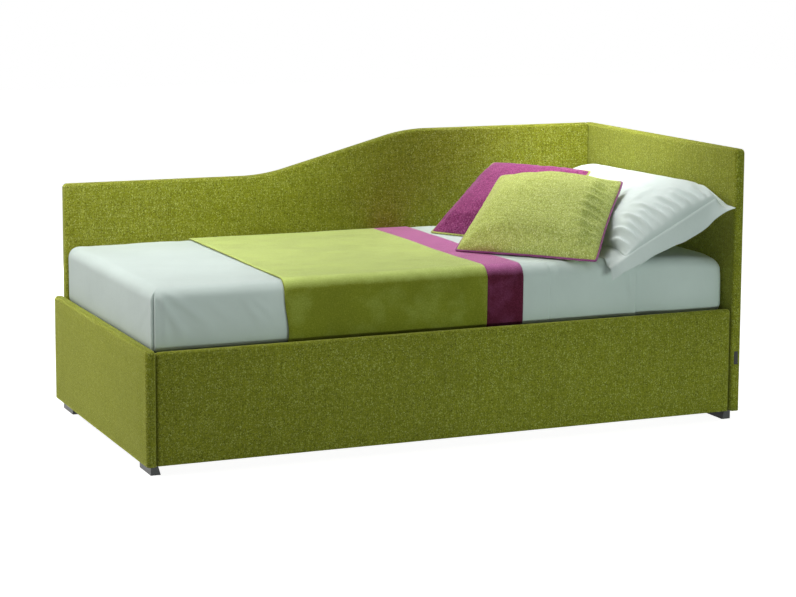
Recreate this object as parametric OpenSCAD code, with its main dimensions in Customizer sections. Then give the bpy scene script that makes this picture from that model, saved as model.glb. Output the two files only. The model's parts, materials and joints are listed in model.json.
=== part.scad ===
// Upholstered single bed with a wide pull-out drawer, a slatted base, a mattress and its bedding.
// Millimetres, +Z up, +X towards the head end, +Y towards the back panel.
// The origin is on the floor, under the middle of the bed.

/* [Overall] */
// Length over both end panels
bed_length = 2000; // [1900:5:2200]
// Depth from the drawer front's face to the rear of the back panel
bed_depth = 1040; // [1020:5:1140]
// Height of the head panel and of the back panel's high end
head_height = 880; // [840:5:1000]
// Height of the back panel's high end over its low end
back_rise = 140; // [100:5:220]
// Height of the foot panel
base_height = 369; // [362:1:400]
// Clear height under the panels
floor_gap = 28; // [22:1:34]

/* [Padded panels] */
// Thickness of the foot panel with its padding
foot_panel_t = 40; // [36:1:56]
// Thickness of the head panel with its padding
head_panel_t = 44; // [38:1:60]
// Thickness of the back panel with its padding
back_panel_t = 45; // [38:1:60]
// Thickness of the drawer front with its padding
drawer_front_t = 45; // [38:1:60]
// Thickness of the boards inside the panels
board_t = 22; // [18:1:25]
// Radius of the rolled upholstered edges
edge_roll_r = 14; // [8:1:17]
// Radius of the panels' upper corners
panel_corner_r = 24; // [20:1:40]
// Padding between a board's edge and the cover's edge
edge_padding = 9; // [6:1:12]
// Padding over a board on the side towards the mattress or the drawer
inner_padding = 7; // [5:1:9]

/* [Back panel slope] */
// Distance from the foot end to the start of the slope
slope_start = 650; // [450:10:800]
// Length of the slope with its two curves
slope_length = 680; // [600:10:760]
// Radius of the curves at both ends of the slope
slope_curve_r = 600; // [450:10:640]

/* [Drawer] */
// Height of the drawer front's upper edge
drawer_front_top = 364; // [350:1:368]
// Gap between the drawer front and each end panel
front_side_gap = 4; // [2:1:8]
// Gap between the drawer box and each end panel
box_side_gap = 22; // [20:1:30]
// Distance between the drawer box and the back panel
box_rear_gap = 100; // [80:10:170]
// Height of the drawer box's rim over the floor
box_rim_height = 270; // [220:5:276]
// Thickness of the drawer box's walls
box_wall_t = 16; // [12:1:19]
// Thickness of the drawer box's bottoms
box_bottom_t = 12; // [8:1:16]
// Depth of the drawer box that stays under the bed when the drawer is fully out
drawer_stay = 150; // [150:10:350]

/* [Castors and feet] */
// Radius of the castor wheels
wheel_r = 25; // [22:0.5:26]
// Width of the castor wheels
wheel_w = 20; // [16:1:24]
// Height of the castors, from the floor to the drawer box
castor_height = 60; // [58:1:64]
// Radius of the castor axles
axle_r = 4; // [3:0.5:5]
// Width of each foot at the floor
foot_w = 30; // [26:1:36]
// Length of each foot along the panel
foot_length = 112; // [90:2:140]
// Distance from the bed's outer face to the feet at the foot end
foot_inset_foot_end = 20; // [16:1:24]
// Distance from the bed's outer face to the feet at the head end
foot_inset_head_end = 28; // [24:1:30]

/* [Slatted base] */
// Height of the base frame's upper side over the floor
base_frame_top = 326; // [322:1:330]
// Height of the base frame's tubes
tube_h = 30; // [25:1:32]
// Width of the tubes at the ends
end_tube_w = 40; // [30:1:50]
// Width of the tubes along the sides and across the middle
side_tube_w = 30; // [30:1:40]
// Wall of the tubes
tube_wall = 1.5; // [1:0.5:3]
// Number of slat pairs
slat_pairs = 7; // [7:1:7]
// Width of a slat
slat_w = 68; // [50:1:72]
// Thickness of a slat
slat_t = 9; // [7:0.5:10]
// Rise of a slat's middle over its ends
slat_camber = 3; // [2:0.5:5]

/* [Bedding] */
// Gap between the mattress and each end panel
mattress_end_gap = 6; // [5:1:18]
// Gap between the mattress and the drawer front
mattress_front_gap = 13.8; // [10.8:1:39.8]
// Height of the mattress
mattress_h = 192; // [160:1:220]
// Radius of the mattress's rolled edges
mattress_roll_r = 34; // [20:1:36]
// Radius of the mattress's upright corners
mattress_corner_r = 46; // [40:1:90]
// Thickness of the sheets
sheet_t = 2; // [1:0.5:3]
// Thickness of the felted throw
throw_t = 5; // [3:0.5:8]
// Place of the throw's edge, from the foot end
throw_start = 475; // [300:5:700]
// Width of the throw's plain part
throw_width = 635; // [400:5:800]
// Width of the band along the throw
throw_band_width = 120; // [60:5:160]
// Distance from the head end to the edge of the turned-down sheet
sheet_turn_down = 370; // [300:5:500]
// Height of the hanging edges of the bedding over the mattress's lower side
hem_height = 14; // [10:1:60]

/* [Pillow and cushions] */
// Width of the pillow with its flange
pillow_width = 462; // [400:2:500]
// Distance between the pillow's rear end and the back panel
pillow_rear_gap = 66; // [60:5:190]
// Side of the rear cushion
rear_cushion_side = 415; // [380:5:430]
// Side of the front cushion
front_cushion_side = 430; // [380:5:450]
// Radius of the cushions' piping
piping_r = 3; // [2:0.5:4]

/* [Hidden] */

$fn = 48;
arc_steps = 6;
roll_steps = 5;
slope_steps = 8;
wrap_steps = 3;

// One overrun for every cut that leaves a solid
over = 1;
// Clearances, each for one kind of seat
bolt_clearance = 0.15;
screw_clearance = 0.1;
axle_clearance = 0.08;
running_gap = 0.5;
soft_gap = 0.3;
cloth_gap = 0.3;

// The well between the panels
outer_x0 = -bed_length / 2;
outer_x1 = bed_length / 2;
front_y = -bed_depth / 2;
back_y = bed_depth / 2;
well_x0 = outer_x0 + foot_panel_t;
well_x1 = outer_x1 - head_panel_t;
well_y1 = back_y - back_panel_t;
well_mid_x = (well_x0 + well_x1) / 2;
front_inner_y = front_y + drawer_front_t;

// The board planes inside the padded panels
foot_board_x0 = well_x0 - inner_padding - board_t;
head_board_x0 = well_x1 + inner_padding;
back_board_y0 = well_y1 + inner_padding;
front_board_y0 = front_inner_y - inner_padding - board_t;

// Slope of the back panel: the angle of the line that touches both curves
slope_x0 = outer_x0 + slope_start;
slope_x1 = slope_x0 + slope_length;
back_low_height = head_height - back_rise;
// The curves can't be wider than the slope between them allows
slope_r = min(slope_curve_r, (pow(slope_length, 2) + pow(back_rise, 2)) / (4 * back_rise));
slope_fall = 2 * slope_r - back_rise;
slope_angle = asin(2 * slope_r / norm([slope_length, slope_fall])) - atan2(slope_fall, slope_length);

// The front tab
tab_w = 14;
tab_h = 42;
tab_t = 1;
tab_bottom = 182;

// The drawer box
box_x0 = well_x0 + box_side_gap;
box_x1 = well_x1 - box_side_gap;
box_y0 = front_inner_y;
box_y1 = well_y1 - box_rear_gap;
drawer_travel = box_y1 - box_y0 - drawer_stay;
box_floor = castor_height + box_bottom_t;
box_half = (box_x1 - box_x0) / 2;
front_screw_x_shares = [-0.78, -0.27, 0.27, 0.78];
front_screw_z_shares = [0.22, 0.78];

// Fasteners
bolt_r = 4;
bolt_head_r = 6.5;
bolt_head_h = 5.3;
nut_r = 6;
nut_length = 14;
screw_r = 2.25;
screw_head_r = 4.5;
screw_head_h = 3;
front_screw_length = 38;
foot_screw_r = 1.8;
foot_screw_head_r = 3;
foot_screw_length = 44;
foot_screw_recess = 4;
foot_screw_spacing = 70;
castor_screw_length = 10;

// The guide rails on the end panels, and the runners on the drawer box
rail_t = 1.5;
rail_reach = 14;
rail_channel_h = 32;
rail_web_h = 54;
rail_bottom = 172;
rail_stop_t = 3;
rail_stop_gap = 1;
rail_screw_inset = 60;
rail_screw_length = 20;
rail_screw_count = 3;
runner_length = 60;
runner_inset = 10;
runner_y1 = box_y1 - runner_inset;
runner_y0 = runner_y1 - runner_length;
runner_h = rail_channel_h - 2 * (rail_t + running_gap);
runner_reach = box_side_gap - rail_t - running_gap;
rail_y0 = runner_y0 - drawer_travel - rail_stop_gap - rail_stop_t;
rail_y1 = runner_y1 + rail_stop_gap + rail_stop_t;
rail_screw_z = rail_bottom + (rail_channel_h + rail_web_h) / 2;

// Castors
castor_inset_share = 0.32;
castor_front_offset = 95;
castor_rear_offset = 95;
castor_plate_t = 2.5;
castor_plate_w = 44;
castor_plate_l = 62;
castor_cheek_gap = 1;
castor_cheek_w = 22;
castor_screw_offset = 24;
axle_head_r = 6;
axle_head_t = 2;
hub_w = 3;
tread_r = 4;
cheek_x = wheel_w / 2 + castor_cheek_gap;
castor_xs = [
    box_x0 + castor_inset_share * box_half,
    box_x1 - castor_inset_share * box_half
];
castor_ys = [box_y0 + castor_front_offset, box_y1 - castor_rear_offset];

// The feet
foot_taper = 8;
foot_end_inset = 18;
foot_rear_inset = 45;
foot_ys = [front_y + foot_end_inset, back_y - foot_rear_inset - foot_length];
foot_board_lap_x0 = (foot_board_x0 + board_t + outer_x0 + foot_inset_foot_end) / 2;
foot_board_lap_x1 = (head_board_x0 + outer_x1 - foot_inset_head_end) / 2;

// The slatted base
base_side_gap = 3;
base_rear_gap = 6;
base_front_gap = 6;
bracket_t = 4;
bracket_w = 56;
bracket_h = 84;
base_x0 = well_x0 + base_side_gap;
base_x1 = well_x1 - base_side_gap;
base_y0 = front_inner_y + base_front_gap;
base_y1 = well_y1 - base_rear_gap;
tube_z0 = base_frame_top - tube_h;
bracket_z1 = tube_z0;
bracket_z0 = bracket_z1 - bracket_h;
bracket_bolt_drops = [30, 62];
bolt_length = bracket_t + inner_padding + nut_length;
holder_floor_t = 5;
holder_wall_t = 4;
holder_lap = 38;
slat_z0 = base_frame_top + holder_floor_t;
slat_steps = 12;
holder_h = holder_floor_t + slat_t + slat_camber;
slat_run = base_x1 - base_x0 - 2 * end_tube_w;
slat_pitch = slat_run / (2 * slat_pairs);
function slat_x(i) = base_x0 + end_tube_w + (i + 1 / 2) * slat_pitch;

// The bedding
mattress_z0 = slat_z0 + slat_t + slat_camber;
mattress_x0 = well_x0 + mattress_end_gap;
mattress_length = well_x1 - mattress_end_gap - mattress_x0;
// Distances of each layer's underside from the mattress
fitted_off = cloth_gap;
top_off = fitted_off + sheet_t + cloth_gap;
turned_off = top_off + sheet_t;
throw_off = turned_off + cloth_gap;
mattress_y1 = well_y1 - throw_off - throw_t - soft_gap;
mattress_y0 = front_inner_y + mattress_front_gap;
hem_z = mattress_z0 + hem_height;
throw_x0 = outer_x0 + throw_start;
band_x0 = throw_x0 + throw_width;
band_x1 = band_x0 + throw_band_width;
turn_down_x = outer_x1 - sheet_turn_down;
mattress_z1 = mattress_z0 + mattress_h;
fitted_top = mattress_z1 + fitted_off + sheet_t;
turned_top = mattress_z1 + turned_off + sheet_t;
throw_top = mattress_z1 + throw_off + throw_t;

// Outlines are lists of points for a given inset, so that a rolled edge can be built from them.
function arc(cx, cy, r, from, to, steps) =
    [for (i = [0:steps]) let (a = from + (to - from) * i / steps) [cx + r * cos(a), cy + r * sin(a)]];

// An upright panel's outline: square at the bottom, round at the two upper corners
function panel_outline(x0, x1, z0, z1, r) = function (inset) concat(
    [[x0 + inset, z0], [x1 - inset, z0]],
    arc(x1 - r, z1 - r, r - inset, 0, 90, arc_steps),
    arc(x0 + r, z1 - r, r - inset, 90, 180, arc_steps));

// The back panel's outline, low at the foot end and high at the head end
function back_outline(x0, x1) = function (inset) concat(
    [[x0 + inset, floor_gap], [x1 - inset, floor_gap], [x1 - inset, head_height - inset]],
    arc(slope_x1, head_height - slope_r, slope_r - inset, 90, 90 + slope_angle, slope_steps),
    arc(slope_x0, back_low_height + slope_r, slope_r + inset, 270 + slope_angle, 270, slope_steps),
    arc(x0 + panel_corner_r, back_low_height - panel_corner_r, panel_corner_r - inset, 90, 180, arc_steps));

// A rectangle with four round corners
function round_rect(x0, x1, y0, y1, r) = function (inset) concat(
    arc(x0 + r, y0 + r, r - inset, 180, 270, arc_steps),
    arc(x1 - r, y0 + r, r - inset, 270, 360, arc_steps),
    arc(x1 - r, y1 - r, r - inset, 0, 90, arc_steps),
    arc(x0 + r, y1 - r, r - inset, 90, 180, arc_steps));

// The two numbers of each ring of a rolled edge: its inset and its depth
function roll_rings(r) = [
    for (k = [0:roll_steps]) let (a = 90 * k / roll_steps) [r * (1 - sin(a)), r * (1 - cos(a))]
];

function ring(points, z) = [for (p = points) [p.x, p.y, z]];

// Faces between rings of n points each, from ring first to ring last
function side_faces(first, last, n) = [
    for (i = [first:last - 1]) for (j = [0:n - 1])
        [i * n + j, (i + 1) * n + j, (i + 1) * n + (j + 1) % n, i * n + (j + 1) % n]
];
function flipped(faces) = [for (f = faces) [for (i = [len(f) - 1:-1:0]) f[i]]];
function cap(start, n) = [for (j = [0:n - 1]) start + j];
function reversed_cap(start, n) = concat([start], [for (j = [n - 1:-1:1]) start + j]);

// A slab from z = 0 to t whose long edges are rolled to radius r all round
module rolled_slab(outline, t, r) {
    rolls = roll_rings(r);
    rings = concat(
        [for (k = rolls) ring(outline(k[0]), k[1])],
        [for (i = [roll_steps:-1:0]) ring(outline(rolls[i][0]), t - rolls[i][1])]);
    n = len(rings[0]);
    last = len(rings) - 1;
    polyhedron(
        [for (q = rings) each q],
        concat([cap(0, n)], side_faces(0, last, n), [reversed_cap(last * n, n)]),
        convexity = 4);
}

// A soft shell: outside and inside are lists of [inset, height] from the hem to the top
module soft_shell(outline, outside, inside) {
    n = len(outline(0));
    m = len(outside);
    polyhedron(
        [for (q = concat(outside, inside)) each ring(outline(q[0]), q[1])],
        concat(
            side_faces(0, m - 1, n), [reversed_cap((m - 1) * n, n)],
            flipped(side_faces(m, 2 * m - 1, n)), [cap((2 * m - 1) * n, n)],
            [for (j = [0:n - 1]) [j, (j + 1) % n, m * n + (j + 1) % n, m * n + j]]),
        convexity = 6);
}

// A flat board in the outline, shrunk by the padding at its edges
module board(outline, t) {
    linear_extrude(t) polygon(outline(edge_padding));
}

// The outline of each padded panel, in its own plane
foot_outline = panel_outline(front_y, back_y, floor_gap, base_height, panel_corner_r);
head_outline = panel_outline(front_y, back_y, floor_gap, head_height, panel_corner_r);
wall_outline = back_outline(well_x0, well_x1);
front_outline = panel_outline(
    well_x0 + front_side_gap, well_x1 - front_side_gap, floor_gap, drawer_front_top, panel_corner_r);

// From a panel's own plane to its place: first coordinate, height, thickness
module across_bed(x) translate([x, 0, 0]) rotate([90, 0, 90]) children();
module along_bed(y) translate([0, y, 0]) rotate([90, 0, 0]) children();

// A cylinder along +X or along +Y from a point
module rod_x(p, r, l) translate(p) rotate([0, 90, 0]) cylinder(r = r, h = l);
module rod_y(p, r, l) translate(p) rotate([-90, 0, 0]) cylinder(r = r, h = l);
module rod_z(p, r, l) translate(p) cylinder(r = r, h = l);
module box(low, high) translate(low) cube(high - low);

// Places of the bolts that hold the brackets to the end panels: y and z
rear_bolt_y = well_y1 - bracket_w / 2;
front_bolt_y = base_y0 + bracket_w / 2;
end_bolts = [
    for (y = [front_bolt_y, rear_bolt_y]) for (d = bracket_bolt_drops) [y, bracket_z1 - d]
];
// Places of the bolts that hold the rear brackets to the back panel: x and z
back_bolts = [
    for (x = [well_x0 + bracket_w / 2, well_x1 - bracket_w / 2])
        [x, bracket_z1 - (bracket_bolt_drops[0] + bracket_bolt_drops[1]) / 2]
];
rail_screws = [
    for (i = [0:rail_screw_count - 1])
        rail_y0 + rail_screw_inset
            + (rail_y1 - rail_y0 - 2 * rail_screw_inset) * i / (rail_screw_count - 1)
];
front_screws = [
    for (x = front_screw_x_shares) for (z = front_screw_z_shares)
        [well_mid_x + x * box_half, box_floor + z * (box_rim_height - box_floor)]
];
foot_screw_ys = [
    for (y = foot_ys) for (s = [-1, 1]) y + foot_length / 2 + s * foot_screw_spacing / 2
];

// Holes in an end panel's board and cover; side is -1 at the foot end and 1 at the head end
module end_board_holes(side) {
    face_x = side < 0 ? foot_board_x0 + board_t : head_board_x0;
    for (b = end_bolts)
        rod_x([face_x - (side < 0 ? nut_length : over), b[0], b[1]],
            nut_r + screw_clearance, nut_length + over);
    for (y = rail_screws)
        rod_x([face_x - rail_screw_length, y, rail_screw_z],
            screw_r + screw_clearance, 2 * rail_screw_length);
    for (y = foot_screw_ys)
        rod_z([side < 0 ? foot_board_lap_x0 : foot_board_lap_x1, y, floor_gap - over],
            foot_screw_r + screw_clearance, foot_screw_length);
}
module end_cover_holes(side) {
    x0 = side < 0 ? foot_board_x0 + board_t - over : well_x1 - over;
    depth = inner_padding + 2 * over;
    for (b = end_bolts) rod_x([x0, b[0], b[1]], bolt_r + bolt_clearance, depth);
    for (y = rail_screws) rod_x([x0, y, rail_screw_z], screw_r + screw_clearance, depth);
}

module foot_panel_board() {
    color("burlywood") difference() {
        across_bed(foot_board_x0) board(foot_outline, board_t);
        end_board_holes(-1);
    }
}
module foot_panel_cover() {
    color([0.58, 0.62, 0.22]) difference() {
        across_bed(outer_x0) rolled_slab(foot_outline, foot_panel_t, edge_roll_r);
        across_bed(foot_board_x0) board_pocket(foot_outline);
        end_cover_holes(-1);
    }
}
module head_panel_board() {
    color("burlywood") difference() {
        across_bed(head_board_x0) board(head_outline, board_t);
        end_board_holes(1);
    }
}
module head_panel_cover() {
    color([0.58, 0.62, 0.22]) difference() {
        across_bed(well_x1) rolled_slab(head_outline, head_panel_t, edge_roll_r);
        across_bed(head_board_x0) board_pocket(head_outline);
        end_cover_holes(1);
        side_tab_block();
    }
}

// The space that a board takes in its cover, open below
module board_pocket(outline) {
    linear_extrude(board_t) {
        polygon(outline(edge_padding));
        translate([0, -over]) polygon(outline(edge_padding));
    }
}

module back_panel_board() {
    color("burlywood") difference() {
        along_bed(back_board_y0 + board_t) board(wall_outline, board_t);
        for (b = back_bolts)
            rod_y([b[0], back_board_y0 - over, b[1]], nut_r + screw_clearance, nut_length + over);
    }
}
module back_panel_cover() {
    color([0.52, 0.56, 0.2]) difference() {
        along_bed(back_y) rolled_slab(wall_outline, back_panel_t, edge_roll_r);
        along_bed(back_board_y0 + board_t) board_pocket(wall_outline);
        for (b = back_bolts)
            rod_y([b[0], well_y1 - over, b[1]], bolt_r + bolt_clearance, back_board_y0 - well_y1 + 2 * over);
    }
}

// A plain tab let into the head panel's front edge
module side_tab_block() {
    x = outer_x1 - head_panel_t / 2 - tab_w / 2;
    box([x, front_y, tab_bottom], [x + tab_w, front_y + tab_t, tab_bottom + tab_h]);
}
module side_tab() {
    color([0.08, 0.08, 0.08]) side_tab_block();
}

// A corner bracket: side is -1 at the foot end, 1 at the head end; rear is true against the back panel
module bracket(side, rear) {
    face_x = side < 0 ? well_x0 : well_x1;
    y0 = rear ? well_y1 - bracket_w : base_y0;
    x_plate = side < 0 ? face_x : face_x - bracket_t;
    x_shelf = side < 0 ? face_x : face_x - bracket_w;
    color([0.35, 0.36, 0.38]) difference() {
        union() {
            box([x_plate, y0, bracket_z0], [x_plate + bracket_t, y0 + bracket_w, bracket_z1]);
            box([x_shelf, y0, bracket_z1 - bracket_t], [x_shelf + bracket_w, y0 + bracket_w, bracket_z1]);
            if (rear)
                box([x_shelf, well_y1 - bracket_t, bracket_z0], [x_shelf + bracket_w, well_y1, bracket_z1]);
        }
        for (b = end_bolts)
            rod_x([face_x - bracket_t - over, b[0], b[1]], bolt_r + bolt_clearance, 2 * (bracket_t + over));
        for (b = back_bolts)
            rod_y([b[0], well_y1 - bracket_t - over, b[1]], bolt_r + bolt_clearance, 2 * (bracket_t + over));
    }
}
module rear_bracket_foot() { bracket(-1, true); }
module rear_bracket_head() { bracket(1, true); }
module front_bracket_foot() { bracket(-1, false); }
module front_bracket_head() { bracket(1, false); }

// A bolt whose head's underside is at the origin and whose shaft runs along +Z
module bolt() {
    translate([0, 0, -bolt_head_h]) cylinder(r = bolt_head_r, h = bolt_head_h, $fn = 6);
    cylinder(r = bolt_r, h = bolt_length);
}
module bracket_bolts() {
    color("silver") {
        for (b = end_bolts) {
            translate([well_x0 + bracket_t, b[0], b[1]]) rotate([0, -90, 0]) bolt();
            translate([well_x1 - bracket_t, b[0], b[1]]) rotate([0, 90, 0]) bolt();
        }
        for (b = back_bolts)
            translate([b[0], well_y1 - bracket_t, b[1]]) rotate([-90, 0, 0]) bolt();
    }
}
module insert_nut() {
    difference() {
        cylinder(r = nut_r, h = nut_length);
        translate([0, 0, -over]) cylinder(r = bolt_r + bolt_clearance, h = nut_length + 2 * over);
    }
}
module insert_nuts() {
    color("gold") {
        for (b = end_bolts) {
            translate([foot_board_x0 + board_t, b[0], b[1]]) rotate([0, -90, 0]) insert_nut();
            translate([head_board_x0, b[0], b[1]]) rotate([0, 90, 0]) insert_nut();
        }
        for (b = back_bolts)
            translate([b[0], back_board_y0, b[1]]) rotate([-90, 0, 0]) insert_nut();
    }
}

// A square tube between two corners; axis is the number of its long direction
module tube(low, high, axis) {
    wall = [for (i = [0:2]) i == axis ? -over : tube_wall];
    color([0.3, 0.31, 0.33]) difference() {
        box(low, high);
        box(low + wall, high - wall);
    }
}
module base_tube_foot() {
    tube([base_x0, base_y0, tube_z0], [base_x0 + end_tube_w, base_y1, base_frame_top], 1);
}
module base_tube_head() {
    tube([base_x1 - end_tube_w, base_y0, tube_z0], [base_x1, base_y1, base_frame_top], 1);
}
module side_tube(y) {
    tube([base_x0 + end_tube_w, y, tube_z0], [base_x1 - end_tube_w, y + side_tube_w, base_frame_top], 0);
}
module base_tube_front() { side_tube(base_y0); }
module base_tube_rear() { side_tube(base_y1 - side_tube_w); }
module base_cross_tube() {
    x = well_mid_x - side_tube_w / 2;
    tube([x, base_y0 + side_tube_w, tube_z0], [x + side_tube_w, base_y1 - side_tube_w, base_frame_top], 1);
}

// The cap that holds a slat's end on a side tube; it opens towards +Y
module slat_holder() {
    outer_w = slat_w + 2 * (holder_wall_t + soft_gap);
    difference() {
        translate([-outer_w / 2, 0, 0]) cube([outer_w, holder_lap + holder_wall_t, holder_h]);
        translate([-slat_w / 2 - soft_gap, holder_wall_t, holder_floor_t])
            cube([slat_w + 2 * soft_gap, holder_lap + over, slat_t + soft_gap]);
    }
}
module slat_holders() {
    color([0.1, 0.1, 0.11]) for (i = [0:2 * slat_pairs - 1]) {
        translate([slat_x(i), base_y0, base_frame_top]) slat_holder();
        translate([slat_x(i), base_y1, base_frame_top]) mirror([0, 1, 0]) slat_holder();
    }
}

// A sprung slat from its front end to its rear end, level in its caps and arched between them
module slat(x) {
    y0 = base_y0 + holder_wall_t + soft_gap;
    y1 = base_y1 - holder_wall_t - soft_gap;
    arch = [
        for (i = [0:slat_steps]) let (t = i / slat_steps)
            [y0 + holder_lap + t * (y1 - y0 - 2 * holder_lap), slat_camber * (1 - cos(360 * t)) / 2]
    ];
    under = concat([[y0, 0]], arch, [[y1, 0]]);
    translate([x + slat_w / 2, 0, slat_z0]) rotate([90, 0, -90]) mirror([1, 0, 0]) linear_extrude(slat_w)
        polygon(concat(under, [for (i = [len(under) - 1:-1:0]) under[i] + [0, slat_t]]));
}
module slat_pair(i) {
    color([0.82, 0.68, 0.46]) {
        slat(slat_x(2 * i - 2));
        slat(slat_x(2 * i - 1));
    }
}

// A foot under an end panel, its outer side upright and its inner side flared
module foot(side, y) {
    x = side < 0 ? outer_x0 + foot_inset_foot_end : outer_x1 - foot_inset_head_end;
    screw_x = side < 0 ? foot_board_lap_x0 : foot_board_lap_x1;
    color([0.25, 0.26, 0.27]) difference() {
        translate([x, y + foot_length, 0]) mirror([side < 0 ? 0 : 1, 0, 0]) rotate([90, 0, 0])
            linear_extrude(foot_length)
                polygon([[0, 0], [foot_w, 0], [foot_w - foot_taper, floor_gap], [0, floor_gap]]);
        for (s = [-1, 1]) translate([screw_x, y + foot_length / 2 + s * foot_screw_spacing / 2, 0]) {
            rod_z([0, 0, -over], foot_screw_r + screw_clearance, floor_gap + 2 * over);
            rod_z([0, 0, -over], foot_screw_head_r + screw_clearance, foot_screw_recess + over);
        }
    }
}
module foot_front_left() { foot(-1, foot_ys[0]); }
module foot_front_right() { foot(1, foot_ys[0]); }
module foot_rear_left() { foot(-1, foot_ys[1]); }
module foot_rear_right() { foot(1, foot_ys[1]); }

// A screw whose head's underside is at the origin and whose shaft runs along +Z
module screw(r, head_r, head_h, length) {
    translate([0, 0, -head_h]) cylinder(r = head_r, h = head_h);
    cylinder(r = r, h = length);
}
module panel_screws() {
    color("silver") {
        for (y = rail_screws) {
            translate([well_x0 + rail_t, y, rail_screw_z]) rotate([0, -90, 0])
                screw(screw_r, screw_head_r, screw_head_h, rail_screw_length);
            translate([well_x1 - rail_t, y, rail_screw_z]) rotate([0, 90, 0])
                screw(screw_r, screw_head_r, screw_head_h, rail_screw_length);
        }
        for (x = [foot_board_lap_x0, foot_board_lap_x1]) for (y = foot_screw_ys)
            translate([x, y, foot_screw_recess])
                screw(foot_screw_r, foot_screw_head_r, screw_head_h, foot_screw_length);
    }
}

// A guide rail: a web with a channel along its lower part and a stop across each end
module guide_rail(side) {
    x = side < 0 ? well_x0 : well_x1;
    color("silver") translate([x, 0, rail_bottom]) mirror([side < 0 ? 0 : 1, 0, 0]) difference() {
        union() {
            box([0, rail_y0, 0], [rail_t, rail_y1, rail_web_h]);
            box([0, rail_y0, 0], [rail_reach, rail_y1, rail_t]);
            box([0, rail_y0, rail_channel_h - rail_t], [rail_reach, rail_y1, rail_channel_h]);
            for (y = [rail_y0, rail_y1 - rail_stop_t])
                box([0, y, 0], [rail_reach, y + rail_stop_t, rail_channel_h]);
        }
        for (y = rail_screws)
            rod_x([-over, y, rail_screw_z - rail_bottom], screw_r + screw_clearance, rail_t + 2 * over);
    }
}
module guide_rail_left() { guide_rail(-1); }
module guide_rail_right() { guide_rail(1); }

module drawer_front_board() {
    color("burlywood") difference() {
        along_bed(front_board_y0 + board_t) board(front_outline, board_t);
        for (p = front_screws)
            rod_y([p[0], box_y0 + box_wall_t - front_screw_length - over, p[1]],
                screw_r + screw_clearance, front_screw_length);
    }
}
module drawer_front_cover() {
    color([0.45, 0.49, 0.16]) difference() {
        along_bed(front_inner_y) rolled_slab(front_outline, drawer_front_t, edge_roll_r);
        along_bed(front_board_y0 + board_t) board_pocket(front_outline);
        for (p = front_screws)
            rod_y([p[0], front_board_y0 + board_t - over, p[1]],
                screw_r + screw_clearance, box_y0 - front_board_y0 - board_t + 2 * over);
    }
}

module box_front_wall() {
    color([0.87, 0.84, 0.78]) difference() {
        box([box_x0, box_y0, box_floor], [box_x1, box_y0 + box_wall_t, box_rim_height]);
        for (p = front_screws)
            rod_y([p[0], box_y0 - over, p[1]], screw_r + screw_clearance, box_wall_t + 2 * over);
    }
}
module box_back_wall() {
    color([0.87, 0.84, 0.78])
        box([box_x0, box_y1 - box_wall_t, box_floor], [box_x1, box_y1, box_rim_height]);
}
module box_cross_wall(x) {
    color([0.87, 0.84, 0.78])
        box([x, box_y0 + box_wall_t, box_floor], [x + box_wall_t, box_y1 - box_wall_t, box_rim_height]);
}
module box_side_left() { box_cross_wall(box_x0); }
module box_side_right() { box_cross_wall(box_x1 - box_wall_t); }
module box_divider() { box_cross_wall(well_mid_x - box_wall_t / 2); }
module box_bottom(x0, x1) {
    color([0.9, 0.87, 0.8]) difference() {
        box([x0, box_y0, castor_height], [x1, box_y1, box_floor]);
        for (x = castor_xs) for (y = castor_ys) for (s = [-1, 1])
            rod_z([x, y + s * castor_screw_offset, castor_height - over],
                screw_r + screw_clearance, castor_screw_length - castor_plate_t + 2 * over);
    }
}
module box_bottom_left() { box_bottom(box_x0, well_mid_x); }
module box_bottom_right() { box_bottom(well_mid_x, box_x1); }

// A fixed castor's fork under the drawer, at its axle's middle
module castor_bracket() {
    plate_z = castor_height - castor_plate_t - wheel_r;
    difference() {
        union() {
            translate([-castor_plate_w / 2, -castor_plate_l / 2, plate_z])
                cube([castor_plate_w, castor_plate_l, castor_plate_t]);
            for (x = [-cheek_x - castor_plate_t, cheek_x]) {
                translate([x, -castor_cheek_w / 2, 0]) cube([castor_plate_t, castor_cheek_w, plate_z]);
                rod_x([x, 0, 0], castor_cheek_w / 2, castor_plate_t);
            }
        }
        rod_x([-cheek_x - castor_plate_t - over, 0, 0], axle_r + axle_clearance,
            2 * (cheek_x + castor_plate_t + over));
        for (s = [-1, 1])
            rod_z([0, s * castor_screw_offset, plate_z - over],
                screw_r + screw_clearance, castor_plate_t + 2 * over);
    }
}
module at_castors() {
    for (x = castor_xs) for (y = castor_ys) translate([x, y, wheel_r]) children();
}
module castor_brackets() {
    color([0.75, 0.76, 0.78]) at_castors() castor_bracket();
}
module castor_axles() {
    half = cheek_x + castor_plate_t;
    color("silver") at_castors() {
        rod_x([-half, 0, 0], axle_r, 2 * half);
        rod_x([-half - axle_head_t, 0, 0], axle_head_r, axle_head_t);
        rod_x([half, 0, 0], axle_head_r, axle_head_t);
    }
}
module wheel(i, j) {
    color([0.12, 0.12, 0.13]) translate([castor_xs[i], castor_ys[j], wheel_r])
        rotate([0, 90, 0]) rotate_extrude()
        difference() {
            union() {
                translate([axle_r + axle_clearance, -wheel_w / 2])
                    square([wheel_r - tread_r - axle_r - axle_clearance, wheel_w]);
                translate([axle_r + axle_clearance, tread_r - wheel_w / 2])
                    square([wheel_r - axle_r - axle_clearance, wheel_w - 2 * tread_r]);
                for (s = [-1, 1]) translate([wheel_r - tread_r, s * (wheel_w / 2 - tread_r)])
                    circle(r = tread_r);
            }
            for (s = [-1, 1]) translate([axle_r + hub_w, s * wheel_w / 2 - hub_w / 2])
                square([wheel_r - axle_r - 2 * tread_r - hub_w, hub_w]);
        }
}
module wheel_front_left() { wheel(0, 0); }
module wheel_front_right() { wheel(1, 0); }
module wheel_rear_left() { wheel(0, 1); }
module wheel_rear_right() { wheel(1, 1); }

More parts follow.
